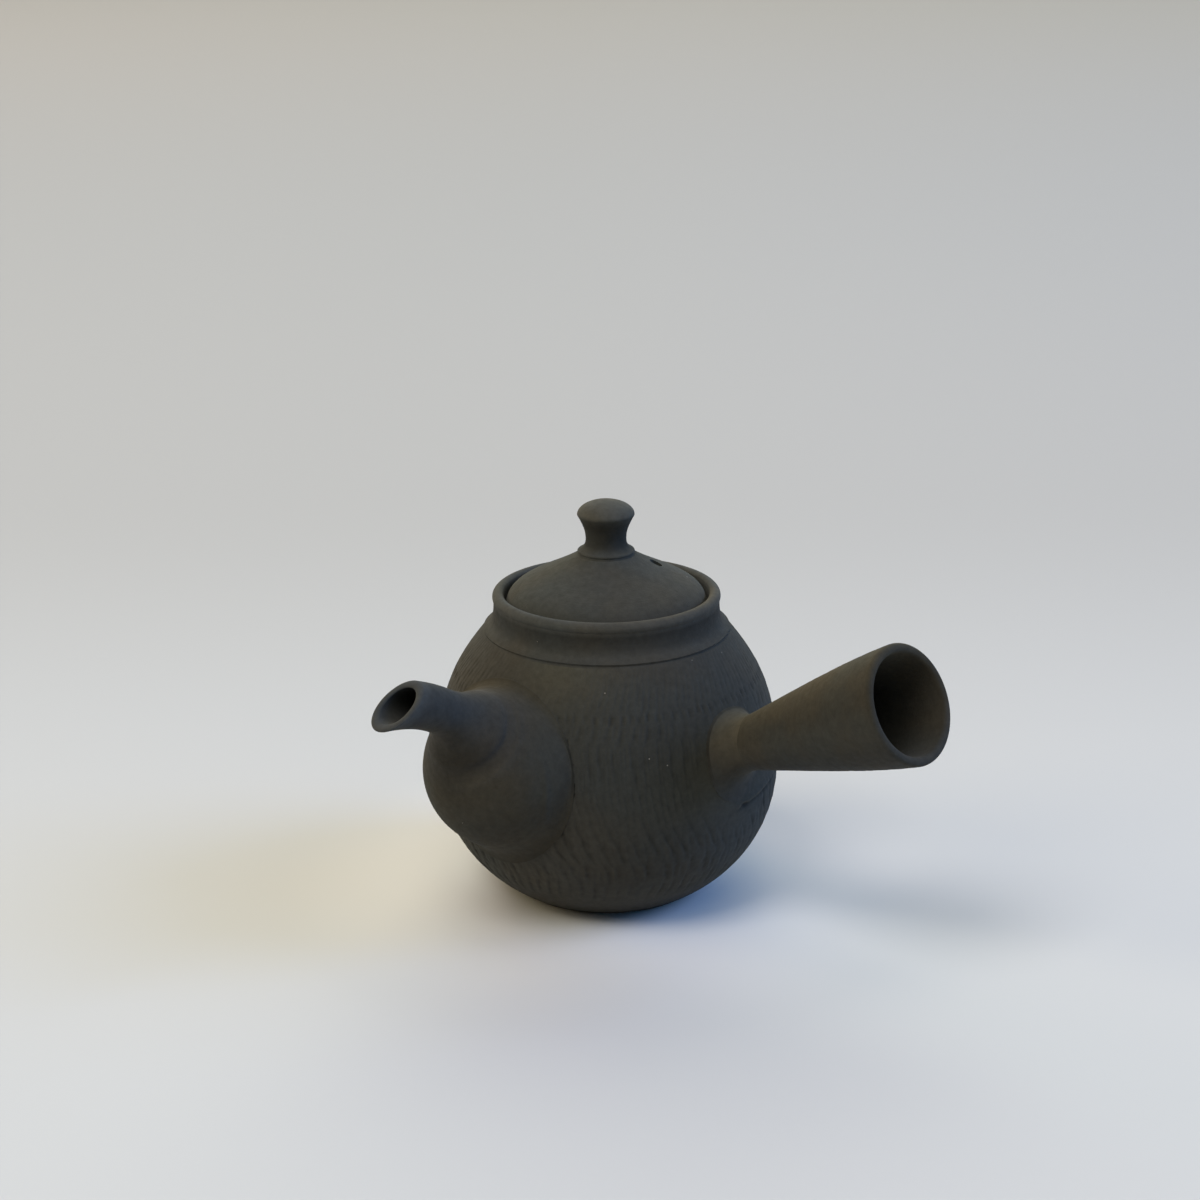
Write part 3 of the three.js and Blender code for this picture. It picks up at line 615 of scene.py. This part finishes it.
# Painted light low on the collar and on the lip, painted shade in the band under the lip, by height over the
# groove.
NECK_PAINTED_LIGHT_AND_SHADE = ((0, -0.1), (1.2, -0.35), (3, 0.35), (6.25, 0.8), (7.35, -0.4), (9.05, -1.0))  # over the groove
painted_neck_light_and_shade = np.interp(upper[:, 1] - collar_foot, *zip(*NECK_PAINTED_LIGHT_AND_SHADE))
painted_neck_light_and_shade = np.where(upper[:, 0] < lip_inside + 0.3, 0, painted_neck_light_and_shade)
pot = Skin()
pot.tip(0)
base = np.concatenate([[(8, 0), (18, 0)], base_edge[:-1]])
pot.add(turned(base, COLUMNS), along=base[:, 1])
# The cut value paints shade into the chatter marks, the smear's groove and the crack as deep as they go, with the
# wall's painted light and shade added.
pot.add(rings, along=spaced[:, 1], cut=np.clip(depth, 0, None) / CUT_DEPTH + patches(rings, WALL_PAINTED_LIGHT_AND_SHADE),
        stain=np.clip(patches(rings, STAINED_AND_WARM_LIT), 0, 1))
pot.add(turned(upper, COLUMNS), along=upper[:, 1], cut=painted_neck_light_and_shade)
pot.add(turned(lower, COLUMNS), along=lower[:, 1])
pot.tip(FLOOR)
body_clay = clay("body_clay", (0.0496, 0.0489, 0.0422), rings_per_mm=1.6, ring_height=0.05, grain_height=0.045)
body = pot.build("pot_body", body_clay, "pot", "body")

# The strainer: a shallow dome of clay pierced with a pin in rings, luted into a round hole in the pot's wall
# behind the spout, its crown towards the leaves.
SCREEN_HOLE_RADIUS = 15
SCREEN_TILT = math.radians(9)
SCREEN_DOME = 8
SCREEN_THICKNESS = 1.8
SCREEN_SKIRT = 2.4
PIN_RADIUS = 0.95
PIN_PITCH = 2.75
PIN_RINGS = 4
SEAT_GAP = 0.3

tilt = Matrix.Rotation(-(math.pi / 2 + SCREEN_TILT), 4, "X")
screen_place = Matrix.Translation((0, (WALL - radius_at(SPOUT_HEIGHT)) * MM, SPOUT_HEIGHT * MM)) @ tilt


def carve(piece, pins):
    """Cuts round pins, given as (place, radius, length), out of a piece."""
    tool_mesh = bpy.data.meshes.new("pins")
    points, faces = [], []
    sides = 20
    for place, radius, length in pins:
        start = len(points)
        for end in (-0.5, 0.5):
            for k in range(sides):
                turn = 2 * math.pi * k / sides
                points.append(place @ Vector((radius * math.cos(turn), radius * math.sin(turn), end * length)))
        faces.append([start + k for k in reversed(range(sides))])
        faces.append([start + sides + k for k in range(sides)])
        faces += [[start + k, start + (k + 1) % sides, start + sides + (k + 1) % sides, start + sides + k]
                  for k in range(sides)]
    tool_mesh.from_pydata([tuple(p) for p in points], [], faces)
    tool = bpy.data.objects.new("pins", tool_mesh)
    bpy.context.collection.objects.link(tool)
    cutter = piece.modifiers.new("holes", "BOOLEAN")
    cutter.object = tool
    cutter.solver = "MANIFOLD"
    bpy.context.view_layer.update()
    carved = bpy.data.meshes.new_from_object(piece.evaluated_get(bpy.context.evaluated_depsgraph_get()))
    piece.modifiers.clear()
    piece.data = carved
    bpy.data.objects.remove(tool)
    piece.data.shade_smooth()
    piece.data.set_sharp_from_angle(angle=math.radians(35))


carve(body, [(screen_place, SCREEN_HOLE_RADIUS * MM, WALL * 6 * MM)])

edge = SCREEN_HOLE_RADIUS - SEAT_GAP
sphere = (edge**2 + SCREEN_DOME**2) / (2 * SCREEN_DOME)
middle = SCREEN_DOME - sphere
lowest = math.degrees(math.asin(-middle / sphere))
inner_edge = edge - SCREEN_THICKNESS
inner_sphere = sphere - SCREEN_THICKNESS
inner_lowest = math.degrees(math.acos(inner_edge / inner_sphere))
dome = Skin()
profile = np.concatenate([
    arc((0, middle), (inner_sphere, inner_sphere), 90, inner_lowest, 12)[1:],
    [(inner_edge, -SCREEN_SKIRT), (edge, -SCREEN_SKIRT)],
    arc((0, middle), (sphere, sphere), lowest, 90, 14)[:-1],
])
dome.tip(middle + inner_sphere)
dome.add(turned(profile, 72), along=profile[:, 1])
dome.tip(SCREEN_DOME)
strainer_clay = clay("strainer_clay", (0.050, 0.049, 0.0425), rings_per_mm=1.0, ring_height=0.03, grain_height=0.06)
strainer = dome.build("pierced_strainer", strainer_clay, "pot", "strainer")
pins = []
for ring in range(PIN_RINGS + 1):
    for k in range(max(1, ring * 6)):
        turn = 2 * math.pi * k / max(1, ring * 6)
        at = Vector((ring * PIN_PITCH * math.cos(turn), ring * PIN_PITCH * math.sin(turn), 0)) * MM
        pins.append((Matrix.Translation(at), PIN_RADIUS * MM, SCREEN_DOME * 3 * MM))
carve(strainer, pins)
strainer.data.transform(screen_place)

# The spout: thrown as a little bell, drawn in to a tube in two swellings, bent while soft, cut off at a slant
# and luted over the strainer with its foot smoothed on to the pot.
SPOUT_SUNK = 6.6
SPOUT_REACH = 76.98
SPOUT_MOUTH_HEIGHT = 71.2
SPOUT_BELL_RADIUS = 22.8
SPOUT_TUBE_RADIUS = 5.95
SPOUT_BELL_SHARE = 0.715
SPOUT_BELL_WALL = 3.2
SPOUT_TUBE_WALL = 1.7
SPOUT_LEAVES = np.array([14.1, 9.3])
SPOUT_ARRIVES = np.array([21.2, 4.1])
SPOUT_CUT = math.radians(45)
SPOUT_CUT_SHARE = 0.25
SPOUT_COLUMNS = 144
SPOUT_STEPS = 400  # of its middle line
SPOUT_ROWS = 150

start = np.array([radius_at(SPOUT_HEIGHT) - SPOUT_SUNK, SPOUT_HEIGHT])
end = np.array([SPOUT_REACH, SPOUT_MOUTH_HEIGHT])
spout_line = bezier(start, start + SPOUT_LEAVES, end - SPOUT_ARRIVES, end, SPOUT_STEPS)
spout_way = np.gradient(spout_line, axis=0)
spout_way /= np.linalg.norm(spout_way, axis=1)[:, None]
spout_turns = np.linspace(0, 2 * math.pi, SPOUT_COLUMNS, endpoint=False)


def spout_ring(share, radius, ahead=0.0):
    """One ring of the spout, tipped towards the slanted cut near the mouth."""
    at = np.clip(share, 0, 1) * SPOUT_STEPS
    middle, way = (np.array([np.interp(at, np.arange(SPOUT_STEPS + 1), line[:, i]) for i in (0, 1)])
                   for line in (spout_line, spout_way))
    tip = SPOUT_CUT * max(0.0, 1 - (1 - share) / SPOUT_CUT_SHARE)
    lean = math.atan2(way[1], way[0]) + tip
    up = radius / math.cos(tip) * np.sin(spout_turns)
    out = middle[0] + way[0] * ahead - up * math.sin(lean)
    return np.stack([radius * np.cos(spout_turns), -out, middle[1] + way[1] * ahead + up * math.cos(lean)], 1)


def about(bearing, width):
    """1 at that bearing round the spout, fading away to both sides; degrees from the handle's side upwards."""
    return hump(signed(np.degrees(spout_turns) - bearing), 0, width)


def spout_ease(share):
    return (1 + math.cos(math.pi * min(1.0, share / SPOUT_BELL_SHARE))) / 2


# The crease that a finger pressed between the bell and the swelling beyond it, on the handle's side, with what
# lies beside it: height, place along the spout from the crease, width. Shares are of the spout's length.
CREASE_PLACE = 0.41
CREASE_BEND = 0.035  # further out on top
CREASE = (-0.62, 0, 0.018)
CREASE_WIDER = 0.014  # below
SECOND_CREASE = (-0.26, -0.036, 0.010)
SWELLING = (0.75, 0.05, 0.04)
RIDGE = (0.30, -0.055, 0.018)
FOOT_RIDGE = (0.45, 0.12, 0.022)  # where the bell's foot was smoothed: height, place, width
FOOT_RIDGE_LEAN = (0.006, -14)  # for each degree round the spout, from this bearing


def spout_outer(share):
    """The outer radius all round."""
    plain = SPOUT_TUBE_RADIUS + (SPOUT_BELL_RADIUS - SPOUT_TUBE_RADIUS) * spout_ease(share)
    pressed = about(-12, 62)
    beyond = share - CREASE_PLACE - CREASE_BEND * np.clip(np.sin(spout_turns), 0, 1)
    crease = CREASE[0] * pressed * hump(beyond, CREASE[1], CREASE[2] + CREASE_WIDER * about(-60, 45))
    second = SECOND_CREASE[0] * about(25, 32) * hump(beyond, *SECOND_CREASE[1:])
    swelling = SWELLING[0] * (0.35 + 0.65 * pressed) * hump(beyond, *SWELLING[1:])
    ridge = RIDGE[0] * pressed * hump(beyond, *RIDGE[1:])
    lean = FOOT_RIDGE_LEAN[0] * (signed(np.degrees(spout_turns)) - FOOT_RIDGE_LEAN[1])
    foot_ridge = FOOT_RIDGE[0] * about(-16, 18) * hump(share - lean, *FOOT_RIDGE[1:])
    return plain + crease + second + swelling + ridge + foot_ridge


def spout_inner(share):
    ease = spout_ease(share)
    plain = SPOUT_TUBE_RADIUS + (SPOUT_BELL_RADIUS - SPOUT_TUBE_RADIUS) * ease
    return plain - SPOUT_TUBE_WALL - (SPOUT_BELL_WALL - SPOUT_TUBE_WALL) * ease


def above_pot(points):
    """How far points stand off the pot's outer wall, sideways."""
    return np.hypot(points[..., 0], points[..., 1]) - radius_at(points[..., 2])


def on_pot(points, lift):
    """The same points moved in or out to stand a little off the pot's wall."""
    scale = (radius_at(points[..., 2]) + lift) / np.hypot(points[..., 0], points[..., 1])
    return np.stack([points[..., 0] * scale, points[..., 1] * scale, points[..., 2]], -1)


FILLET_HOLLOW = 0.15  # how far a fillet's corner stands off the wall


def column_cut(columns, lift):
    """For each column of points, the first that comes within lift of the pot: its place and a blend."""
    stand = above_pot(columns) - lift
    inside = stand < 0
    first = np.argmax(inside, axis=0)
    j = np.arange(columns.shape[1])
    share = stand[first - 1, j] / (stand[first - 1, j] - stand[first, j])
    return first, columns[first - 1, j] + share[:, None] * (columns[first, j] - columns[first - 1, j])


def trimmed(columns, lift, rows):
    """Columns cut where they come within lift of the pot, with their points spread evenly again."""
    first, cut = column_cut(columns, lift)
    kept = np.empty((rows, columns.shape[1], 3))
    for j in range(columns.shape[1]):
        path = np.concatenate([columns[:first[j], j], cut[None, j]])
        length = run(path)
        at = np.linspace(0, length[-1], rows)
        kept[:, j] = np.stack([np.interp(at, length, path[:, i]) for i in range(3)], 1)
    return kept


def settle(columns, lift, reach, centre, edge, rows, steps):
    """Columns of points that run down to the pot, cut where they come within lift of it and carried on over
    a hollow fillet to an edge that lies on the wall. All columns come out with the same number of points."""
    kept = trimmed(columns, lift, rows)
    _, touch = column_cut(columns, 0.0)
    outward = touch - centre
    wall_normal = np.stack([touch[:, 0], touch[:, 1], 0 * touch[:, 2]], 1)
    wall_normal /= np.linalg.norm(wall_normal, axis=1)[:, None]
    outward -= (outward * wall_normal).sum(1)[:, None] * wall_normal
    outward /= np.linalg.norm(outward, axis=1)[:, None]
    rim = on_pot(touch + outward * np.broadcast_to(reach, (len(touch),))[:, None], edge)
    t = np.linspace(0, 1, steps + 1)[1:, None, None]
    hollow = on_pot(touch, FILLET_HOLLOW)
    fillet = (1 - t) ** 2 * kept[-1] + 2 * (1 - t) * t * hollow + t**2 * rim
    return np.concatenate([kept, fillet])


shares = np.linspace(1, 0, SPOUT_ROWS)
tucks = np.linspace(-0.5, -13, 26)  # behind the bell's middle, into the wall
outer, inner = (
    np.stack([spout_ring(s, radius(s)) for s in shares] + [spout_ring(0, radius(0), d) for d in tucks])
    for radius in (spout_outer, spout_inner))
sharp = about(10, 26)  # where the foot was left standing as a sharp edge, by the crack
low = 0.5 - 0.5 * np.sin(spout_turns)  # 1 underneath
lift = 1.9 - 1.35 * sharp
reach = 1.5 - 1.25 * sharp + 0.9 * low**2
centre = np.array([0, -radius_at(SPOUT_HEIGHT + 3), SPOUT_HEIGHT + 3])
outside = settle(outer, lift, reach, centre, 0.06, SPOUT_ROWS, 12)
inside = settle(inner, 0.12, 0.0, centre, 0.12, 70, 1)[:-1]
half = (spout_outer(1.0) - spout_inner(1.0)) / 2
lip_turns = np.radians(np.linspace(0, 180, 11))[1:-1]
lip_rings = [spout_ring(1.0, spout_inner(1.0) + half + half * math.cos(a), half.mean() * math.sin(a))
             for a in lip_turns]

# Its painted light and shade: strength, share of the length, width, and where round the spout.
PAINTED_HOLLOW_SHADE = (0.75, 0.47, 0.07, about(-52, 46))  # the shadow side below the tube
PAINTED_RIDGE_HIGHLIGHT = (0.6, 0.352, 0.02, about(-40, 32))
PAINTED_TOP_HIGHLIGHT = (0.9, 0.46, 0.05, about(95, 28))
PAINTED_LIP_HIGHLIGHT = 0.9
PAINTED_FOOT_SHADE = np.clip(1.5 * about(10, 17) - 0.25, 0, 1)
FOOT_ROWS = 6
MOUTH_ROWS = 9  # that the light reaches, inside

share = np.stack([np.interp(now, then, shares)
                  for now, then in zip(run(outside).T, run(outer[:SPOUT_ROWS]).T)], 1)
hollow_shade, ridge, top_highlight = (strength * hump(share, middle, width) * where
                            for strength, middle, width, where in (PAINTED_HOLLOW_SHADE, PAINTED_RIDGE_HIGHLIGHT, PAINTED_TOP_HIGHLIGHT))
# Painted shade below the tube, painted highlights on the ridge, on the top and towards the mouth, and painted shade
# along the foot's sharp edge by the crack.
painted_shading = hollow_shade - ridge - top_highlight + np.interp(share, (0.93, 1.0), (0, -1.0))
painted_shading[-FOOT_ROWS:] += PAINTED_FOOT_SHADE
# Inside, painted light on the underside near the mouth where the light reaches, and painted shade deeper in.
lit = np.clip(1 - np.arange(len(inside))[:, None] / MOUTH_ROWS, 0, 1) * low
# Browner all round the bell, and along its top up to the tube, where the brown is painted warm light.
browner = 0.75 * np.interp(share, (0.3, 0.42), (1, 0)) + 0.6 * about(95, 50) * np.interp(share, (0.4, 0.6), (1, 0))
funnel = Skin()
# The lip carries a painted highlight.
funnel.add(lip_rings[::-1], cut=np.full(len(lip_rings), -PAINTED_LIP_HIGHLIGHT))
funnel.add(outside, cut=painted_shading, stain=np.clip(browner, 0, 1))
funnel.add([on_pot(outside[-1], -0.25)])
funnel.add(inside[::-1], cut=(1 - 1.9 * lit)[::-1])
funnel.close()
funnel.values["along"] = [np.linspace(0, 60, funnel.count)]
spout_clay = clay("spout_clay", (0.0450, 0.0450, 0.0416), rings_per_mm=0.9, ring_height=0.07, grain_height=0.035,
                  grit_share=0.03)
spout = funnel.build("spout", spout_clay, "pot", "spout")

# The handle: a hollow cone thrown off the hump, left open at its wide end so that it stays cool, and set at a
# slant that lets one hand pour.
HANDLE_RISE = math.radians(24.9)
HANDLE_LENGTH = 59.5
HANDLE_ROOT_RADIUS = 6.1
HANDLE_MOUTH_RADIUS = 15.45
HANDLE_FULLNESS = 0.7
HANDLE_WALL = 2.5
HANDLE_SUNK = 9
HANDLE_COLUMNS = 160
THROWING_HEIGHT = 0.022
RING_MARK = (0.12, 37.5, 0.5)  # a tool's: depth, distance from the pot, width

handle_foot = np.array([radius_at(HANDLE_HEIGHT), 0, HANDLE_HEIGHT])
handle_way = np.array([math.cos(HANDLE_RISE), 0, math.sin(HANDLE_RISE)])
handle_up = np.array([-math.sin(HANDLE_RISE), 0, math.cos(HANDLE_RISE)])
handle_turns = np.linspace(0, 2 * math.pi, HANDLE_COLUMNS, endpoint=False)


def handle_radius(distance):
    share = distance / HANDLE_LENGTH
    bulge = HANDLE_FULLNESS * 27 / 4 * share**2 * (1 - share)  # at its most two thirds of the way out
    return HANDLE_ROOT_RADIUS + (HANDLE_MOUTH_RADIUS - HANDLE_ROOT_RADIUS) * share + bulge


def handle_ring(radius, distance):
    """A ring about the handle's axis, at a distance from the pot's wall."""
    spoke = np.cos(handle_turns)[:, None] * np.array([0, 1, 0]) + np.sin(handle_turns)[:, None] * handle_up
    return handle_foot + distance * handle_way + np.reshape(radius, (-1, 1)) * spoke


lip_end = HANDLE_LENGTH - HANDLE_WALL / 2
steps = np.linspace(-HANDLE_SUNK, lip_end, 150)
throwing = np.random.default_rng(11).normal(0, 1, len(steps))
throwing = np.convolve(throwing, (0.2, 0.6, 0.2), "same") * THROWING_HEIGHT
outer_radii = handle_radius(steps) + throwing - RING_MARK[0] * hump(steps, *RING_MARK[1:])
lip_middle = handle_radius(lip_end) - HANDLE_WALL / 2
lip_arc = arc((lip_middle, lip_end), (HANDLE_WALL / 2, HANDLE_WALL / 2), 0, 180, 14)[1:-1]
cone_out = np.stack([handle_ring(r, d) for r, d in zip(outer_radii, steps)])[::-1]
cone_in = np.stack([handle_ring(handle_radius(d) - HANDLE_WALL, d)
                    for d in np.linspace(-HANDLE_SUNK, lip_end, 90)])[::-1]

cone = Skin()
cone_outside = trimmed(cone_out, SEAT_GAP, 130)[::-1]
cone_inside = trimmed(cone_in, SEAT_GAP, 60)
cone.add(cone_outside)
cone.add([handle_ring(r, d) for r, d in lip_arc])
cone.add(cone_inside)
cone.close()
points = np.concatenate(cone.points)
handle_axial = (points - handle_foot) @ handle_way
on_top = (points - handle_foot) @ handle_up / handle_radius(handle_axial)
within = np.arange(len(points)) >= len(points) - cone_inside[..., 0].size  # on the hollow's wall
# Painted light on the handle's top, painted shade on its flank just below and a little more inside the hollow; and
# browner towards the top.
painted_shading = 0.12 + 0.4 * hump(on_top, 0.35, 0.35) - 0.45 * np.clip(on_top, 0, 1) ** 3 + 0.1 * within
cone.values = {"along": [handle_axial], "cut": [painted_shading], "stain": [np.clip(0.45 + 0.45 * on_top, 0, 1)]}
handle_clay = clay("handle_clay", (0.0475, 0.0461, 0.0400), rings_per_mm=2.2, ring_height=0.06, grain_height=0.035,
                   patch_scale=38.0)
handle = cone.build("handle", handle_clay, "pot", "handle")

# The coil at the handle's root: soft clay pressed round the joint and drawn out thin with a wet finger, on to
# the pot one way, furthest below, and along the handle the other.
COIL_REACH = 4.4
COIL_REACH_BELOW = 7.8
COIL_CLIMB = 7.5
COIL_UNEVEN = (0.4, 0.8)  # its reach and its climb
COIL_FULLNESS = (0.34, 0.62)  # 1 fills the corner up; at the sides and above, below
COIL_PAINTED_HIGHLIGHT = (0.85, 118, 55)  # a painted highlight on its upper side: strength, bearing round the handle, width
COIL_CREASE_SHADE = (0.9, 165, 38)  # painted shade along its edge on the pot
COIL_EDGE = slice(3, 7)  # the rings that lie there

lumps = np.random.default_rng(5).uniform(0, 2 * math.pi, 4)
uneven = sum(math.pow(0.6, k) * np.cos((k + 2) * handle_turns + lumps[k]) for k in range(4)) / 2
below = np.clip(-np.sin(handle_turns), 0, 1) ** 2
reach = COIL_REACH + (COIL_REACH_BELOW - COIL_REACH) * below + COIL_UNEVEN[0] * uneven
along_out = np.linspace(-23, 30, 531)
_, near = column_cut(np.stack([handle_ring(handle_radius(d) + 0.02, d) for d in along_out])[::-1], 0.0)
near_along = (near - handle_foot) @ handle_way
top_along = near_along + COIL_CLIMB + COIL_UNEVEN[1] * uneven
top = np.stack([handle_ring(handle_radius(a) + 0.015, a)[j] for j, a in enumerate(top_along)])
wide = handle_radius(near_along) + reach
_, rim = column_cut(np.stack([handle_ring(wide, d) for d in along_out])[::-1], 0.03)
fullness = (COIL_FULLNESS[0] + (COIL_FULLNESS[1] - COIL_FULLNESS[0]) * below)[:, None]
t = np.linspace(0, 1, 29)[:, None, None]
from_handle = top + fullness * (near - top)
from_pot = on_pot(rim + fullness * (near - rim), 0.05)
fillet = (1 - t) ** 3 * top + 3 * (1 - t) ** 2 * t * from_handle + 3 * (1 - t) * t**2 * from_pot + t**3 * rim
back_top = np.stack([handle_ring(handle_radius(a) - 0.2, a - 0.3)[j] for j, a in enumerate(top_along)])
coil = Skin()
coil.add([back_top])
coil.add([on_pot(near, -0.25)])
coil.add([on_pot(rim, -0.25)])
coil.add(fillet[::-1])
coil.close()
coil.faces = [face[::-1] for face in coil.faces]
points = np.concatenate(coil.points) - handle_foot
bearing = np.degrees(handle_turns)
# Painted highlight on the coil's upper side, painted shade along its edge on the pot, and browner higher up.
painted_shading = np.tile(-COIL_PAINTED_HIGHLIGHT[0] * hump(bearing, *COIL_PAINTED_HIGHLIGHT[1:]), (len(coil.points), 1))
painted_shading[COIL_EDGE] = COIL_CREASE_SHADE[0] * hump(bearing, *COIL_CREASE_SHADE[1:])
coil.values = {"along": [points @ handle_way * 0.3], "cut": [painted_shading.ravel()],
               "stain": [np.clip(0.55 + 0.3 * (points @ handle_up) / 8, 0, 1)]}
coil_piece = coil.build("handle_coil", handle_clay, "pot", "handle_coil", sharp=60)

# The lid: thrown as a shallow dish, turned over and trimmed, with a locating ring below that drops into the
# mouth and a steam vent pricked through it.
LID_GAP = 0.6
LID_EDGE = 1.7
LID_RISE = 12.8
LID_WALL = 2.7
LID_EDGE_PULL = (0.9, 5.6)
LID_TOP_PULL = (9.5, 5.9)
FLANGE_GAP = 0.5
FLANGE_DEPTH = 6.6
FLANGE_THICKNESS = 2.3
VENT_RADIUS = 1.7
VENT_DISTANCE = 13.2
VENT_BEARING = math.radians(45.5)
KNOB_BASE_RADIUS = 7.6

lid_radius = lip_inside - LID_GAP
flange_radius = mouth_radius - FLANGE_GAP
lid_bottom = ledge_top + SEAT_GAP
lid_top = LID_EDGE + LID_RISE
seat_radius = KNOB_BASE_RADIUS + SEAT_GAP
dome_line = bezier((lid_radius, LID_EDGE), (lid_radius - LID_EDGE_PULL[0], LID_EDGE + LID_EDGE_PULL[1]),
                   (seat_radius + LID_TOP_PULL[0], lid_top - LID_TOP_PULL[1]), (seat_radius, lid_top), 60)
flange_inside = flange_radius - FLANGE_THICKNESS
under_line = offset(dome_line, -LID_WALL)[::-2]
under_line = under_line[under_line[:, 0] < flange_inside - 0.5]
profile = np.concatenate([
    under_line, [(flange_inside, 0), (flange_inside, -FLANGE_DEPTH + 0.5), (flange_inside + 0.4, -FLANGE_DEPTH),
                 (flange_radius - 0.4, -FLANGE_DEPTH), (flange_radius, -FLANGE_DEPTH + 0.5), (flange_radius, 0),
                 (lid_radius - 0.3, 0), (lid_radius, 0.3)],
    evenly(dome_line, 0.4), [(4, lid_top)],
])
profile[:, 1] += lid_bottom
cover = Skin()
cover.tip(lid_bottom + lid_top - LID_WALL)
cover.add(turned(profile, COLUMNS), along=profile[:, 0])
cover.tip(lid_bottom + lid_top)
lid_clay = clay("lid_clay", (0.0565, 0.0560, 0.0475), rings_per_mm=2.4, ring_height=0.05, grain_height=0.04)
lid = cover.build("lid", lid_clay, "lid", "lid")
vent = Matrix.Translation(Vector((VENT_DISTANCE * math.cos(VENT_BEARING), VENT_DISTANCE * math.sin(VENT_BEARING),
                                  lid_bottom)) * MM)
carve(lid, [(vent, VENT_RADIUS * MM, lid_top * 3 * MM)])

# The knob: turned on its own, with a stepped base, a waist for two fingers and a low crown, luted to the lid.
KNOB_BASE_HEIGHT = 1.7
KNOB_WAIST_RADIUS = 5.4
KNOB_WAIST_HEIGHT = 3.9
KNOB_HEAD_RADIUS = 7.6
KNOB_HEAD_HEIGHT = 10.5
KNOB_CROWN = 3.8
KNOB_SEAM = 0.3  # height of the soft seam left where it was luted on
KNOB_STEP = 0.55
KNOB_FILLET = 1.5
KNOB_WAIST_PULL = 2.4
KNOB_HEAD_PULL = (1.4, 2.6)
KNOB_PAINTED_LIGHT_AND_SHADE = ((0.8, 0), (2.6, 1), (8.5, 1), (10.1, 0.3), (11.1, -0.8))  # painted shade under the head and in the waist, painted highlight on the crown

knob_bottom = lid_bottom + lid_top + SEAT_GAP
profile = np.concatenate([
    [(3, -SEAT_GAP), (KNOB_BASE_RADIUS, -SEAT_GAP), (KNOB_BASE_RADIUS - 0.08, KNOB_SEAM - SEAT_GAP)],
    arc((KNOB_BASE_RADIUS - 0.5, KNOB_STEP), (0.5, 0.45), -50, 62, 8),
    bezier((KNOB_BASE_RADIUS - 0.4, KNOB_STEP + 0.45), (KNOB_WAIST_RADIUS + 0.5, KNOB_BASE_HEIGHT),
           (KNOB_WAIST_RADIUS, KNOB_WAIST_HEIGHT - KNOB_FILLET), (KNOB_WAIST_RADIUS, KNOB_WAIST_HEIGHT), 12),
    bezier((KNOB_WAIST_RADIUS, KNOB_WAIST_HEIGHT), (KNOB_WAIST_RADIUS, KNOB_WAIST_HEIGHT + KNOB_WAIST_PULL),
           (KNOB_HEAD_RADIUS - KNOB_HEAD_PULL[0], KNOB_HEAD_HEIGHT - KNOB_HEAD_PULL[1]),
           (KNOB_HEAD_RADIUS, KNOB_HEAD_HEIGHT), 20)[1:],
    arc((0, KNOB_HEAD_HEIGHT), (KNOB_HEAD_RADIUS, KNOB_CROWN), 6, 88, 22),
])
profile[:, 1] += knob_bottom
# Painted shade under the head and in the waist, and a painted highlight on the crown.
deep = np.interp(profile[:, 1] - knob_bottom, *zip(*KNOB_PAINTED_LIGHT_AND_SHADE))
grip = Skin()
grip.tip(knob_bottom - SEAT_GAP)
grip.add(turned(profile, 96), along=profile[:, 1] + profile[:, 0], cut=deep)
grip.tip(knob_bottom + KNOB_HEAD_HEIGHT + KNOB_CROWN - 0.02, cut=[KNOB_PAINTED_LIGHT_AND_SHADE[-1][1]])
knob = grip.build("knob", lid_clay, "lid", "knob")
